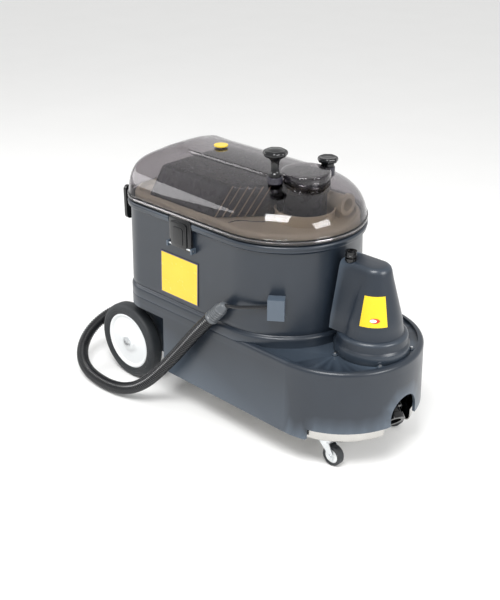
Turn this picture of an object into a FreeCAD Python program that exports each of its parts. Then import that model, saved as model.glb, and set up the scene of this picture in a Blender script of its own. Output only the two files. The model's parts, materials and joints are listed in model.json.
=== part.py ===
"""Wet pick-up carpet cleaner machine, millimetres.

+X points to the nose, +Y to the left side, +Z up. The origin is on the floor, under the
middle of the machine. Every size that can be set by itself is a cell of the sheet "Sizes".
"""
import FreeCAD, Part
import math
import os
import Sketcher

Vector = FreeCAD.Vector
Rotation = FreeCAD.Rotation
doc = FreeCAD.newDocument("carpet_cleaner")
sheet = doc.addObject("Spreadsheet::Sheet", "Sizes")
sheet_rows = []
nodes = {}


# ---------------------------------------------------------------- sizes that carry their formula
class Size:
    """A number together with the sheet formula that gives it."""

    def __init__(self, number, text):
        self.number = float(number)
        self.text = text

    def __add__(self, other):
        return combined(self, "+", other, self.number + number_of(other))

    def __radd__(self, other):
        return combined(other, "+", self, number_of(other) + self.number)

    def __sub__(self, other):
        return combined(self, "-", other, self.number - number_of(other))

    def __rsub__(self, other):
        return combined(other, "-", self, number_of(other) - self.number)

    def __mul__(self, other):
        return combined(self, "*", other, self.number * number_of(other))

    def __rmul__(self, other):
        return combined(other, "*", self, number_of(other) * self.number)

    def __truediv__(self, other):
        return combined(self, "/", other, self.number / number_of(other))

    def __rtruediv__(self, other):
        return combined(other, "/", self, number_of(other) / self.number)

    def __neg__(self):
        return combined(-1, "*", self, -self.number)


def number_of(value):
    return value.number if isinstance(value, Size) else float(value)


def text_of(value):
    return value.text if isinstance(value, Size) else f"({float(value):.6g})"


def combined(left, sign, right, number):
    return Size(number, f"({text_of(left)} {sign} {text_of(right)})")


def size(name, value, meaning):
    sheet_rows.append(name)
    row = len(sheet_rows)
    sheet.set(f"A{row}", meaning)
    sheet.set(f"B{row}", str(value))
    sheet.setAlias(f"B{row}", name)
    return Size(value, f"Sizes.{name}")


def bind(item, path, value):
    item.setExpression(path, text_of(value))


# ---------------------------------------------------------------- driving dimensions
body_width = size("body_width", 380, "width of the housing at the deck")
nose_x = size("nose_x", 236, "centre of the half-round nose")
rear_x = size("rear_x", -331, "rear face of the housing and the tank")
corner_radius = size("corner_radius", 78, "rear corners, seen from above")
deck_top = size("deck_top", 264, "top of the housing's rim")
deck_dip = size("deck_dip", 6, "how far the deck lies below its rim")
rim_width = size("rim_width", 14, "width of the deck's rim")
skirt_low = size("skirt_low", 86, "lower edge of the side skirt")
skirt_nose_low = size("skirt_nose_low", 113, "lower edge of the skirt round the nose")
skirt_flare = size("skirt_flare", 4, "how far the skirt spreads at its foot")
shell_wall = size("shell_wall", 4, "wall of the moulded shells")
recess_front_x = size("recess_front_x", -168, "front of the wheel recess")
recess_top = size("recess_top", 228, "top of the wheel recess")
recess_half = size("recess_half", 133, "half width of the housing between the wheels")
step_x = size("step_x", -286, "front of the step that the axle runs under")
step_top = size("step_top", 134, "top of the step that the axle runs under")
bracket_y = size("bracket_y", 60, "axle brackets from the middle")
arch_half = size("arch_half", 45, "half width of the arch in the nose")
arch_top = size("arch_top", 177, "top of the arch in the nose")
pan_inset = size("pan_inset", 10, "gap from the skirt to the steel pan")
pan_low = size("pan_low", 78, "underside of the steel pan")
pan_depth = size("pan_depth", 34, "height of the steel pan")
pan_sheet = size("pan_sheet", 2, "sheet of the steel pan")
tank_x = size("tank_x", 59, "centre of the tank's round front")
tank_taper = size("tank_taper", 11, "how far the tank's wall leans in")
rim_top = size("rim_top", 508, "top of the tank's flange")
flange_depth = size("flange_depth", 18, "height of the tank's flange")
lid_rise = size("lid_rise", 117, "height of the lid's crown above the rim")
lid_shoulder = size("lid_shoulder", 85, "tight arc at the lid's sides")
lid_wall = size("lid_wall", 3, "wall of the clear lid")
lid_rear_run = size("lid_rear_run", 88, "how far the lid's rear end slopes")
lid_lip = size("lid_lip", 9, "height of the lid's lower lip")
seal_gap = size("seal_gap", 3, "thickness of the seal under the lid")
liner_gap = size("liner_gap", 3, "gap between the tank and its liner")
liner_top = size("liner_top", 526, "top of the liner's shoulder")
turret_radius = size("turret_radius", 57, "outer radius of the lid's turret")
turret_x = size("turret_x", 117, "centre of the lid's turret")
wheel_x = size("wheel_x", -328, "rear axle")
wheel_radius = size("wheel_radius", 101.6, "rear wheel")
wheel_width = size("wheel_width", 38, "rear tyre")
wheel_outer = size("wheel_outer", 181, "outer face of the rear tyres from the middle")
hub_radius = size("hub_radius", 75, "rear hub")
axle_radius = size("axle_radius", 8, "rear axle rod")
running_gap = size("running_gap", 0.08, "radial clearance of every running fit")
clear_gap = size("clear_gap", 0.5, "gap beside turning and sliding pieces")
castor_radius = size("castor_radius", 25, "castor wheel")
castor_width = size("castor_width", 20, "castor wheel")
castor_trail = size("castor_trail", 22, "from the castor's pin to its axle")
castor_x = size("castor_x", 298.5, "castor pin")
castor_y = size("castor_y", 114.6, "castor pin from the middle")
hood_x = size("hood_x", 325, "axis of the motor hood")
hood_radius = size("hood_radius", 86, "foot of the motor hood")
hood_top = size("hood_top", 465, "top of the motor hood")
hood_neck = size("hood_neck", 70, "radius of the motor hood above its foot")
hood_top_half = size("hood_top_half", 38, "half width of the motor hood at its top")
latch_x = size("latch_x", -97, "middle of the side latches")
latch_width = size("latch_width", 74, "side latches")
latch_pin_z = size("latch_pin_z", 440, "pins of the side latches")
hose_radius = size("hose_radius", 15.5, "outer radius of the drain hose")
stub_y = size("stub_y", -96, "drain outlet from the middle")
stub_z = size("stub_z", 150, "height of the drain outlet")
turret_top = size("turret_top", 630, "flat top of the turret")
lift_x = size("lift_x", 91.6, "lift knob")
lift_y = size("lift_y", -73, "lift knob")
lift_z = size("lift_z", 626, "seat of the lift knob")
relief_x = size("relief_x", 116, "relief knob")
relief_y = size("relief_y", 77, "relief knob")
relief_z = size("relief_z", 620, "seat of the relief knob")
pin_radius = size("pin_radius", 5, "pin under each knob")
badge_x = size("badge_x", -152, "round badge on the lid")
badge_radius = size("badge_radius", 17, "round badge on the lid")
cage_radius = size("cage_radius", 50, "separator cage under the turret")
cage_wall = size("cage_wall", 3, "wall of the separator cage")
float_radius = size("float_radius", 22, "float ball")
box_front_x = size("box_front_x", 60, "front of the separator box")
box_rear_x = size("box_rear_x", -248, "rear of the separator box")
box_half = size("box_half", 153, "half width of the separator box at its foot")
box_lean = size("box_lean", 40, "how far the separator box's walls lean in")
box_top = size("box_top", 588, "top of the separator box")
port_radius = size("port_radius", 20, "inlet port")
port_y = size("port_y", 62, "inlet port from the middle")
port_z = size("port_z", 549, "height of the inlet port")
coupling_x = size("coupling_x", 272, "quick coupling on the hood")
coupling_y = size("coupling_y", -22, "quick coupling on the hood")
hook_z = size("hook_z", 460, "height of the cable hooks")
hook_y = size("hook_y", 112, "cable hooks from the middle")
hook_reach = size("hook_reach", 44, "how far the cable hooks stand out")
panel_z = size("panel_z", 395, "height of the switch panel")
hose_start = size("hose_start", 19, "where the drain hose leaves its stub, from the rear wall")
label_x = size("label_x", -175, "rear edge of the side labels")
label_width = size("label_width", 130, "side labels")
label_low = size("label_low", 300, "lower edge of the side labels")
label_height = size("label_height", 108, "side labels")
doc.recompute()

body_half = body_width / 2
gland_y = 32
deck_z = deck_top - deck_dip
tank_foot_half = body_half
tank_top_half = body_half - tank_taper


# ---------------------------------------------------------------- making pieces
TURNS = {
    "Z": Rotation(),
    "-Z": Rotation(Vector(1, 0, 0), 180),
    "Y": Rotation(Vector(1, 0, 0), -90),
    "-Y": Rotation(Vector(1, 0, 0), 90),
    "X": Rotation(Vector(0, 1, 0), 90),
    "-X": Rotation(Vector(0, 1, 0), -90),
}


def placed(item, at, axis="Z"):
    """Puts an object's own Z axis along the named axis, at a point bound to the sheet."""
    turn = TURNS[axis] if isinstance(axis, str) else axis
    item.Placement = FreeCAD.Placement(Vector(*[number_of(value) for value in at]), turn)
    for letter, value in zip("xyz", at):
        bind(item, f"Placement.Base.{letter}", value)
    return item


def node(item, name):
    """Files a finished object as one sub-part of the machine."""
    item.Label = name
    nodes[name] = item
    return item


def new_body(label):
    body = doc.addObject("PartDesign::Body", label)
    body.Label = label
    return body


def new_sketch(body, role="XY_Plane", offset=0):
    sketch = body.newObject("Sketcher::SketchObject", body.Label + "_sketch")
    support = [item for item in body.Origin.OriginFeatures if item.Role == role][0]
    sketch.AttachmentSupport = [(support, "")]
    sketch.MapMode = "FlatFace"
    bind(sketch, "AttachmentOffset.Base.z", offset)
    return sketch


def fix(sketch, kind, geometry, value):
    """One dimension of a sketch, bound to the sheet."""
    rule = sketch.addConstraint(Sketcher.Constraint(kind, *geometry, number_of(value)))
    sketch.setExpression(f"Constraints[{rule}]", text_of(value))


def fix_point(sketch, geometry, end, x, y):
    for kind, axis, value in (("DistanceX", -2, x), ("DistanceY", -1, y)):
        if not isinstance(value, Size) and value == 0:
            sketch.addConstraint(Sketcher.Constraint("PointOnObject", geometry, end, axis))
        else:
            fix(sketch, kind, (-1, 1, geometry, end), value)


def polygon(sketch, corners):
    """Closed outline through (x, y) corners."""
    points = [Vector(number_of(x), number_of(y), 0) for x, y in corners]
    lines = [sketch.addGeometry(Part.LineSegment(start, end))
             for start, end in zip(points, points[1:] + points[:1])]
    for line, following in zip(lines, lines[1:] + lines[:1]):
        sketch.addConstraint(Sketcher.Constraint("Coincident", line, 2, following, 1))
    for line, (x, y) in zip(lines, corners):
        fix_point(sketch, line, 1, x, y)


def plan_outline(sketch, front_x, half, back_x, corner):
    """The machine's outline from above: half-round front, flat rear with round corners."""
    front, side, back, bend = [number_of(value) for value in (front_x, half, back_x, corner)]
    up = Vector(0, 0, 1)

    def arc(x, y, radius, start, end):
        ring = Part.Circle(Vector(x, y, 0), up, radius)
        return sketch.addGeometry(Part.ArcOfCircle(ring, math.radians(start), math.radians(end)))

    def line(x0, y0, x1, y1):
        return sketch.addGeometry(Part.LineSegment(Vector(x0, y0, 0), Vector(x1, y1, 0)))

    loop = [
        arc(front, 0, side, -90, 90),
        line(front, side, back + bend, side),
        arc(back + bend, side - bend, bend, 90, 180),
        line(back, side - bend, back, bend - side),
        arc(back + bend, bend - side, bend, 180, 270),
        line(back + bend, -side, front, -side),
    ]
    for piece, following in zip(loop, loop[1:] + loop[:1]):
        sketch.addConstraint(Sketcher.Constraint("Tangent", piece, 2, following, 1))
    sketch.addConstraint(Sketcher.Constraint("PointOnObject", loop[0], 3, -1))
    sketch.addConstraint(Sketcher.Constraint("Equal", loop[2], loop[4]))
    sketch.addConstraint(Sketcher.Constraint("Vertical", loop[3]))
    fix(sketch, "DistanceX", (-1, 1, loop[0], 3), front_x)
    fix(sketch, "Radius", (loop[0],), half)
    fix(sketch, "Radius", (loop[2],), corner)
    fix(sketch, "DistanceX", (-1, 1, loop[3], 1), back_x)


def feature(body, kind, sketch, length=None, reverse=False):
    """A Pad, Pocket, Revolution or Groove made from one sketch."""
    doc.recompute()
    item = body.newObject("PartDesign::" + kind, f"{body.Label}_{kind.lower()}")
    item.Profile = sketch
    if kind in ("Revolution", "Groove"):
        item.ReferenceAxis = (sketch, ["V_Axis"])
        item.Angle = 360
    if length is not None:
        bind(item, "Length", length)
    item.Reversed = reverse
    doc.recompute()
    return item


def rounded(body, radius, chosen):
    """Rounds the edges of a body that a test picks."""
    tip = body.Tip
    names = [f"Edge{index + 1}" for index, edge in enumerate(tip.Shape.Edges) if chosen(edge)]
    item = body.newObject("PartDesign::Fillet", body.Label + "_fillet")
    item.Base = (tip, names)
    bind(item, "Radius", radius)
    doc.recompute()
    return item


def level(edge, height, slack=0.01):
    """True for an edge that lies flat at one height."""
    box = edge.BoundBox
    return abs(box.ZMin - height) < slack and abs(box.ZMax - height) < slack


def turned(label, corners, at, axis="Z"):
    """A piece turned on a lathe: (radius, height) corners about its own axis."""
    body = new_body(label)
    sketch = new_sketch(body, "XZ_Plane")
    polygon(sketch, corners)
    feature(body, "Revolution", sketch)
    return placed(body, at, axis)


def plan_slab(label, front_x, half, back_x, corner, bottom, top):
    """A solid with the machine's outline between two heights."""
    body = new_body(label)
    sketch = new_sketch(body, offset=bottom)
    plan_outline(sketch, front_x, half, back_x, corner)
    feature(body, "Pad", sketch, top - bottom)
    return body


def block(label, low, high):
    """A box from its lowest to its highest corner."""
    item = doc.addObject("Part::Box", label)
    for name, start, end in zip(("Length", "Width", "Height"), low, high):
        bind(item, name, end - start if isinstance(end, Size) or isinstance(start, Size)
             else float(end) - float(start))
    return placed(item, low)


def rod(label, at, radius, length, axis="Z"):
    item = doc.addObject("Part::Cylinder", label)
    bind(item, "Radius", radius)
    bind(item, "Height", length)
    return placed(item, at, axis)


def cut(label, base, tools):
    item = doc.addObject("Part::Cut", label)
    item.Base = base
    item.Tool = tools[0] if len(tools) == 1 else fused(label + "_tools", tools)
    return item


def fused(label, pieces):
    item = doc.addObject("Part::MultiFuse", label)
    item.Shapes = pieces
    return item


def group(label, pieces):
    """Separate equal solids that share one node."""
    item = doc.addObject("Part::Compound", label)
    item.Links = pieces
    return item


def rectangle(x0, y0, x1, y1):
    return [(x0, y0), (x1, y0), (x1, y1), (x0, y1)]


SIDES = {"right": -1, "left": 1}


# ---------------------------------------------------------------- housing and pan
def make_lower_housing():
    """Moulded skirt and deck: hollow below, narrow between the wheels, an arch in the nose."""
    body = new_body("lower_housing_body")
    foot = new_sketch(body, offset=skirt_low)
    plan_outline(foot, nose_x, body_half + skirt_flare, rear_x, corner_radius)
    shoulder = new_sketch(body, offset=deck_top - 24)
    plan_outline(shoulder, nose_x, body_half, rear_x, corner_radius)
    doc.recompute()
    loft = body.newObject("PartDesign::AdditiveLoft", "lower_housing_loft")
    loft.Profile = foot
    loft.Sections = [shoulder]
    doc.recompute()
    band = new_sketch(body, offset=deck_top - 24)
    plan_outline(band, nose_x, body_half, rear_x, corner_radius)
    feature(body, "Pad", band, 24)
    rounded(body, 10, lambda edge: level(edge, deck_top.number))
    dip = new_sketch(body, offset=deck_top)
    plan_outline(dip, nose_x, body_half - rim_width, rear_x + rim_width, corner_radius - rim_width)
    feature(body, "Pocket", dip, deck_dip)
    hollow = new_sketch(body, offset=skirt_low)
    inner = body_half - shell_wall
    plan_outline(hollow, nose_x, inner, recess_front_x + shell_wall, corner_radius / 4)
    feature(body, "Pocket", hollow, deck_z - shell_wall - skirt_low, reverse=True)
    tail = new_sketch(body, offset=skirt_low)
    tail_half = recess_half - shell_wall
    polygon(tail, rectangle(step_x + shell_wall, -tail_half, recess_front_x + 2 * shell_wall, tail_half))
    feature(body, "Pocket", tail, deck_z - shell_wall - skirt_low, reverse=True)
    rear_space = block("rear_space", (rear_x + shell_wall, -tail_half, step_top + shell_wall),
                       (step_x + 2 * shell_wall, tail_half, deck_z - shell_wall))
    step = block("axle_step", (rear_x - 10, -recess_half - 5, skirt_low - 10),
                 (step_x, recess_half + 5, step_top))
    recesses = [block(f"wheel_recess_{side}",
                      (rear_x - 10, sign * (body_half + 20) if sign < 0 else recess_half, skirt_low - 10),
                      (recess_front_x, -recess_half if sign < 0 else body_half + 20, recess_top))
                for side, sign in SIDES.items()]
    notch = block("nose_notch", (nose_x + 0.3 * body_half, -body_half - 20, skirt_low - 10),
                  (nose_x + body_half + 20, body_half + 20, skirt_nose_low))
    arch = rod("nose_arch_round", (nose_x + body_half - 60, 0, arch_top - arch_half), arch_half, 90, "X")
    arch_foot = block("nose_arch_foot", (nose_x + body_half - 60, -arch_half, skirt_low - 10),
                      (nose_x + body_half + 30, arch_half, arch_top - arch_half))
    stub_hole = rod("stub_hole", (rear_x - 5, stub_y, stub_z), 14 + clear_gap, 30, "X")
    tank_seat = plan_slab("tank_seat", tank_x, body_half + 1, rear_x - 1, corner_radius, deck_z, deck_top + 5)
    screw_holes = [rod(f"screw_hole_{index}", (x, y, deck_z - 10), 2, 20)
                   for index, (x, y) in enumerate(screw_places())]
    return cut("lower_housing", body, recesses + [notch, arch, arch_foot, rear_space, step, stub_hole,
                                                  tank_seat, *screw_holes])


def screw_places():
    """Where the four screws hold the motor hood."""
    reach = hood_radius + 4
    return [(hood_x + reach * math.cos(math.radians(angle)), reach * math.sin(math.radians(angle)))
            for angle in (-115, -40, 40, 115)]


def make_axle_bracket(side):
    """Bent steel bracket: a foot on the housing's rear step and an ear round the axle."""
    y = SIDES[side] * bracket_y
    foot = block(f"bracket_foot_{side}", (rear_x + 6, y - 14, step_top - 3), (step_x - 4, y + 14, step_top))
    ear = block(f"bracket_ear_{side}", (wheel_x - axle_radius - 6, y - 2.5, wheel_radius - 14),
                (wheel_x + axle_radius + 14, y + 2.5, step_top))
    bore = rod(f"bracket_bore_{side}", (wheel_x, y - 10, wheel_radius), axle_radius + running_gap, 20, "Y")
    return cut(f"bracket_{side}", fused(f"bracket_whole_{side}", [foot, ear]), [bore])


def make_chassis_pan():
    """Polished steel pan under the nose that carries the castors."""
    half = body_half - pan_inset
    back = recess_front_x + 20
    outer = plan_slab("pan_outer", nose_x, half, back, corner_radius / 3, pan_low, pan_low + pan_depth)
    rounded(outer, 14, lambda edge: level(edge, pan_low.number))
    inner = plan_slab("pan_inner", nose_x, half - pan_sheet, back + pan_sheet,
                      corner_radius / 3 - pan_sheet, pan_low + pan_sheet, pan_low + pan_depth + 5)
    rounded(inner, 12, lambda edge: level(edge, (pan_low + pan_sheet).number))
    gap = block("pan_gap", (nose_x + body_half - 105, -arch_half - 4, pan_low - 5),
                (nose_x + body_half + 20, arch_half + 4, pan_low + pan_depth + 5))
    return cut("chassis_pan", outer, [inner, gap])


node(make_lower_housing(), "lower_housing")
node(make_chassis_pan(), "chassis_pan")
node(group("axle_brackets", [make_axle_bracket(side) for side in SIDES]), "axle_brackets")


# ---------------------------------------------------------------- tank and its liner
def make_tank_shell():
    """Outer wall of the tank: a stepped foot, a wall that leans in and a rolled flange."""
    body = new_body("tank_shell_body")
    foot = new_sketch(body, offset=deck_z)
    plan_outline(foot, tank_x, tank_foot_half, rear_x, corner_radius)
    feature(body, "Pad", foot, 28)
    rounded(body, 8, lambda edge: level(edge, deck_z.number + 28))
    low = new_sketch(body, offset=deck_z + 20)
    plan_outline(low, tank_x, tank_foot_half - 4, rear_x + 2, corner_radius)
    high = new_sketch(body, offset=rim_top - flange_depth)
    plan_outline(high, tank_x, tank_top_half, rear_x + 6, corner_radius)
    doc.recompute()
    loft = body.newObject("PartDesign::AdditiveLoft", "tank_shell_loft")
    loft.Profile = low
    loft.Sections = [high]
    doc.recompute()
    flange = new_sketch(body, offset=rim_top - flange_depth)
    plan_outline(flange, tank_x, body_half, rear_x, corner_radius)
    feature(body, "Pad", flange, flange_depth)
    hollow = plan_slab("tank_hollow", tank_x, tank_top_half - shell_wall, rear_x + 6 + shell_wall,
                       corner_radius - shell_wall, deck_z + shell_wall, rim_top + 5)
    shell = cut("tank_wall", body, [hollow, *[latch_pocket(side) for side in SIDES]])
    lugs = [latch_lug(side, end) for side in SIDES for end in (-1, 1)]
    pins = [rod(f"latch_pin_hole_{side}", (latch_x - latch_width, sign * (body_half - 0.5), latch_pin_z), 2.5,
                2 * latch_width, "X") for side, sign in SIDES.items()]
    gland_hole = rod("tank_gland_hole", (rear_x - 5, gland_y, panel_z - 10), 10, 30, "X")
    return cut("tank_shell", fused("tank_with_lugs", [shell, *lugs]), [*pins, gland_hole])


def latch_lug(side, end):
    """Small lug on the tank's wall that holds one end of a latch's pin."""
    sign = SIDES[side]
    x = latch_x + end * (latch_width / 2 + 4)
    inner, outer = sign * (tank_top_half - 2), sign * (body_half + 4)
    low_y, high_y = (outer, inner) if sign < 0 else (inner, outer)
    return block(f"latch_lug_{side}_{end}", (x - 2.5, low_y, latch_pin_z - 8), (x + 2.5, high_y, latch_pin_z + 6))


def latch_pocket(side):
    """Hollow in the flange that each latch lies in."""
    sign = SIDES[side]
    inner, outer = sign * (body_half - 7), sign * (body_half + 20)
    low_y, high_y = (outer, inner) if sign < 0 else (inner, outer)
    return block(f"latch_pocket_{side}", (latch_x - latch_width / 2 - 1, low_y, latch_pin_z - 12),
                 (latch_x + latch_width / 2 + 1, high_y, rim_top + 5))


def make_liner():
    """Beige inner tank with a raised shoulder under the lid and a pick-up basin in it."""
    half = tank_top_half - shell_wall - liner_gap
    back = rear_x + 6 + shell_wall + liner_gap
    bend = corner_radius - shell_wall - liner_gap
    body = plan_slab("recovery_liner_body", tank_x, half, back, bend, deck_z + shell_wall + 1, liner_top)
    rounded(body, 10, lambda edge: level(edge, liner_top.number))
    basin = plan_slab("liner_basin", tank_x, half - 12, back + 12, bend - 12, liner_top - 10,
                      liner_top + 5)
    shoulder_low = liner_top - 10 - shell_wall
    cavity = plan_slab("liner_cavity", tank_x, half - shell_wall, back + shell_wall, bend - shell_wall,
                       deck_z + 2 * shell_wall + 1, shoulder_low)
    well = plan_slab("liner_well", tank_x - 116, half - 70, back + 78, bend - 50, shoulder_low - 5,
                     liner_top)
    return cut("recovery_liner", body, [basin, cavity, well])


node(make_tank_shell(), "tank_shell")
node(make_liner(), "recovery_liner")

def make_seal():
    """Rubber ring between the flange and the lid."""
    outer = plan_slab("seal_outer", tank_x, body_half - 1, rear_x + 1, corner_radius - 1,
                      rim_top, rim_top + seal_gap)
    inner = plan_slab("seal_inner", tank_x, body_half - 8, rear_x + 8, corner_radius - 8,
                      rim_top - 1, rim_top + seal_gap + 1)
    return cut("lid_seal", outer, [inner, *[latch_pocket(side) for side in SIDES]])


node(make_seal(), "lid_seal")


# ---------------------------------------------------------------- clear lid
lid_base = rim_top + seal_gap
lid_half = body_half - 3


def crown_profile(sketch, half, rise, shoulder, whole):
    """Flat-based arch: a tight shoulder arc on each side that runs into one wide crown arc."""
    side, top, bend = [number_of(value) for value in (half, rise, shoulder)]
    wide = ((side - bend) ** 2 + top ** 2 - bend ** 2) / (2 * (top - bend))
    up = Vector(0, 0, 1)
    lean = math.atan2(wide - top, side - bend)
    right = Part.Circle(Vector(side - bend, 0, 0), up, bend)
    crown = Part.Circle(Vector(0, top - wide, 0), up, wide)
    first = sketch.addGeometry(Part.ArcOfCircle(right, 0, lean))
    end = math.pi - lean if whole else math.pi / 2
    middle = sketch.addGeometry(Part.ArcOfCircle(crown, lean, end))
    sketch.addConstraint(Sketcher.Constraint("Tangent", first, 2, middle, 1))
    sketch.addConstraint(Sketcher.Constraint("PointOnObject", first, 3, -1))
    sketch.addConstraint(Sketcher.Constraint("PointOnObject", first, 1, -1))
    sketch.addConstraint(Sketcher.Constraint("PointOnObject", middle, 3, -2))
    fix(sketch, "DistanceX", (-1, 1, first, 1), half)
    fix(sketch, "Radius", (first,), shoulder)
    if whole:
        left = Part.Circle(Vector(bend - side, 0, 0), up, bend)
        last = sketch.addGeometry(Part.ArcOfCircle(left, math.pi - lean, math.pi))
        base = sketch.addGeometry(Part.LineSegment(Vector(-side, 0, 0), Vector(side, 0, 0)))
        sketch.addConstraint(Sketcher.Constraint("Tangent", middle, 2, last, 1))
        sketch.addConstraint(Sketcher.Constraint("Equal", first, last))
        sketch.addConstraint(Sketcher.Constraint("PointOnObject", last, 3, -1))
        sketch.addConstraint(Sketcher.Constraint("PointOnObject", last, 2, -1))
        sketch.addConstraint(Sketcher.Constraint("Coincident", last, 2, base, 1))
        sketch.addConstraint(Sketcher.Constraint("Coincident", base, 2, first, 1))
        wide_value = ((half - shoulder) * (half - shoulder) + rise * rise - shoulder * shoulder)
        fix(sketch, "Radius", (middle,), wide_value / (2 * (rise - shoulder)))
    else:
        axis = sketch.addGeometry(Part.LineSegment(Vector(0, top, 0), Vector(0, 0, 0)))
        base = sketch.addGeometry(Part.LineSegment(Vector(0, 0, 0), Vector(side, 0, 0)))
        sketch.addConstraint(Sketcher.Constraint("Coincident", middle, 2, axis, 1))
        sketch.addConstraint(Sketcher.Constraint("Coincident", axis, 2, base, 1))
        sketch.addConstraint(Sketcher.Constraint("Coincident", axis, 2, -1, 1))
        sketch.addConstraint(Sketcher.Constraint("PointOnObject", axis, 1, -2))
        sketch.addConstraint(Sketcher.Constraint("Coincident", base, 2, first, 1))
        fix(sketch, "DistanceY", (-1, 1, axis, 1), rise)


def dome(label, inset):
    """The lid's domed space, shrunk by a wall: round in front, arched, steep at the rear."""
    half, rise, back = lid_half - inset, lid_rise - inset, rear_x + 3 + inset
    shoulder = lid_shoulder - inset
    body = new_body(label + "_arch")
    quarter = new_sketch(body, "XZ_Plane")
    crown_profile(quarter, half, rise, shoulder, False)
    turn = feature(body, "Revolution", quarter)
    turn.Angle = 180
    turn.Midplane = True
    section = new_sketch(body, "YZ_Plane")
    crown_profile(section, half, rise, shoulder, True)
    feature(body, "Pad", section, tank_x - back, reverse=True)
    placed(body, (tank_x, 0, lid_base))
    plan = plan_slab(label + "_plan", tank_x, half, back, corner_radius - 3 - inset, lid_base,
                     lid_base + rise + 5)
    bend = lid_rear_run - inset
    top = lid_base + lid_rise - 4 - inset
    low = block(label + "_rear_wall", (back, -body_half, lid_base), (back + bend + 5, body_half, top - bend))
    roll = rod(label + "_rear_roll", (back + bend, -body_half, top - bend), bend, body_width, "Y")
    front = block(label + "_front", (back + bend, -body_half, lid_base),
                  (tank_x + body_half, body_half, lid_base + rise + 5))
    side_view = fused(label + "_side", [low, roll, front])
    item = doc.addObject("Part::MultiCommon", label)
    item.Shapes = [body, plan, side_view]
    return item


def make_lid():
    """Clear moulded lid: a dome with a flat-topped turret, two knob bosses and a lip."""
    lip = plan_slab("lid_lip_band", tank_x, body_half - 1, rear_x + 1, corner_radius - 1, lid_base,
                    lid_base + lid_lip)
    turret = rod("turret_outer", (turret_x, 0, lid_base + 40), turret_radius, turret_top - lid_base - 40)
    turret_inside = rod("turret_inner", (turret_x, 0, lid_base + 5), turret_radius - lid_wall,
                        turret_top - lid_base - 5 - lid_wall)
    outer = fused("lid_outer", [dome("lid_dome_outer", 0), lip, turret])
    inner = fused("lid_inner", [dome("lid_dome_inner", lid_wall), turret_inside])
    shell = cut("lid_shell", outer, [inner])
    posts = fused("lid_with_posts", [
        shell, rod("lift_post", (lift_x, lift_y, lift_z - 22), 17, 22),
        rod("relief_post", (relief_x, relief_y, relief_z - 24), 17, 24)])
    return cut("lid_dome", posts, [
        rod("lift_bore", (lift_x, lift_y, lift_z - 18), pin_radius + running_gap, 25),
        rod("relief_bore", (relief_x, relief_y, relief_z - 18), pin_radius + running_gap, 25)])


node(make_lid(), "lid_dome")

# ---------------------------------------------------------------- knobs and turret
def make_lift_knob():
    """Tall mushroom knob with a slim stem and a pin that turns in the lid's boss."""
    return turned("lift_knob", [
        (0, -16), (pin_radius, -16), (pin_radius, 0.3), (15, 0.3), (15, 7), (10, 11), (9, 36),
        (14, 44), (26, 47), (28, 52), (28, 57), (24, 61), (0, 63)], (lift_x, lift_y, lift_z))


def make_relief_knob():
    """Short ribbed knob that opens the vacuum relief port."""
    return turned("relief_knob", [
        (0, -16), (pin_radius, -16), (pin_radius, 0.3), (15, 0.3), (15, 9), (21, 12), (24, 14),
        (24, 19), (20, 22), (0, 23)], (relief_x, relief_y, relief_z))


def make_badge():
    """Round plate on the crown of the lid."""
    return rod("lid_badge", (badge_x, 0, lid_base + lid_rise + 0.02), badge_radius, 2.5)


basin_floor = liner_top - 10


def make_cage():
    """Round cage with windows: air leaves through its top, the float rises inside it."""
    height = turret_top - lid_wall - 6 - basin_floor
    outer = rod("cage_outer", (turret_x, 0, basin_floor), cage_radius, height)
    inner = rod("cage_inner", (turret_x, 0, basin_floor + cage_wall), cage_radius - cage_wall,
                height - 2 * cage_wall)
    outlet = rod("cage_outlet", (turret_x, 0, turret_top - 30), float_radius - 6, 60)
    windows = [block("cage_window_x", (turret_x - cage_radius - 5, -18, basin_floor + 12),
                     (turret_x + cage_radius + 5, 18, basin_floor + 52)),
               block("cage_window_y", (turret_x - 18, -cage_radius - 5, basin_floor + 12),
                     (turret_x + 18, cage_radius + 5, basin_floor + 52))]
    return cut("separator_cage", outer, [inner, outlet, *windows])


def box_corners(half, back, front, steps):
    """Corners of the box from above: straight sides, then slanted faces that narrow to the front."""
    near = [(back, -half), *[(front - x, y - half) for x, y in steps]]
    far = [(front - x, half - y) for x, y in reversed(steps)] + [(back, half)]
    return near + far


def box_loft(label, inset, low_z, high_z):
    """Block whose foot is wider than its top, smaller all round by an inset."""
    body = new_body(label)
    low = new_sketch(body, offset=low_z)
    polygon(low, box_corners(box_half - inset, box_rear_x + inset, box_front_x - inset,
                             ((87, 0), (42, 54), (0, 103))))
    high = new_sketch(body, offset=high_z)
    polygon(high, box_corners(box_half - box_lean - inset, box_rear_x + 8 + inset,
                              box_front_x - 2 - inset, ((73, 0), (33, 33), (0, 68))))
    doc.recompute()
    loft = body.newObject("PartDesign::AdditiveLoft", label + "_loft")
    loft.Ruled = True
    loft.Profile = low
    loft.Sections = [high]
    doc.recompute()
    return body


def make_separator_box():
    """Dark louvred box behind the cage that slows the incoming water."""
    body = box_loft("separator_body", 0, basin_floor, box_top)
    inner = box_loft("separator_hollow", 4, basin_floor - 1, box_top - 5)
    slots = []
    for index in range(5):
        item = doc.addObject("Part::Box", f"box_slot_{index}")
        bind(item, "Length", 4)
        bind(item, "Width", body_width)
        bind(item, "Height", 44)
        placed(item, (box_front_x - 82 + 14 * index, -body_half, basin_floor + 12),
               Rotation(Vector(0, 1, 0), 22))
        slots.append(item)
    return cut("separator_box", body, [inner, *slots])


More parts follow.
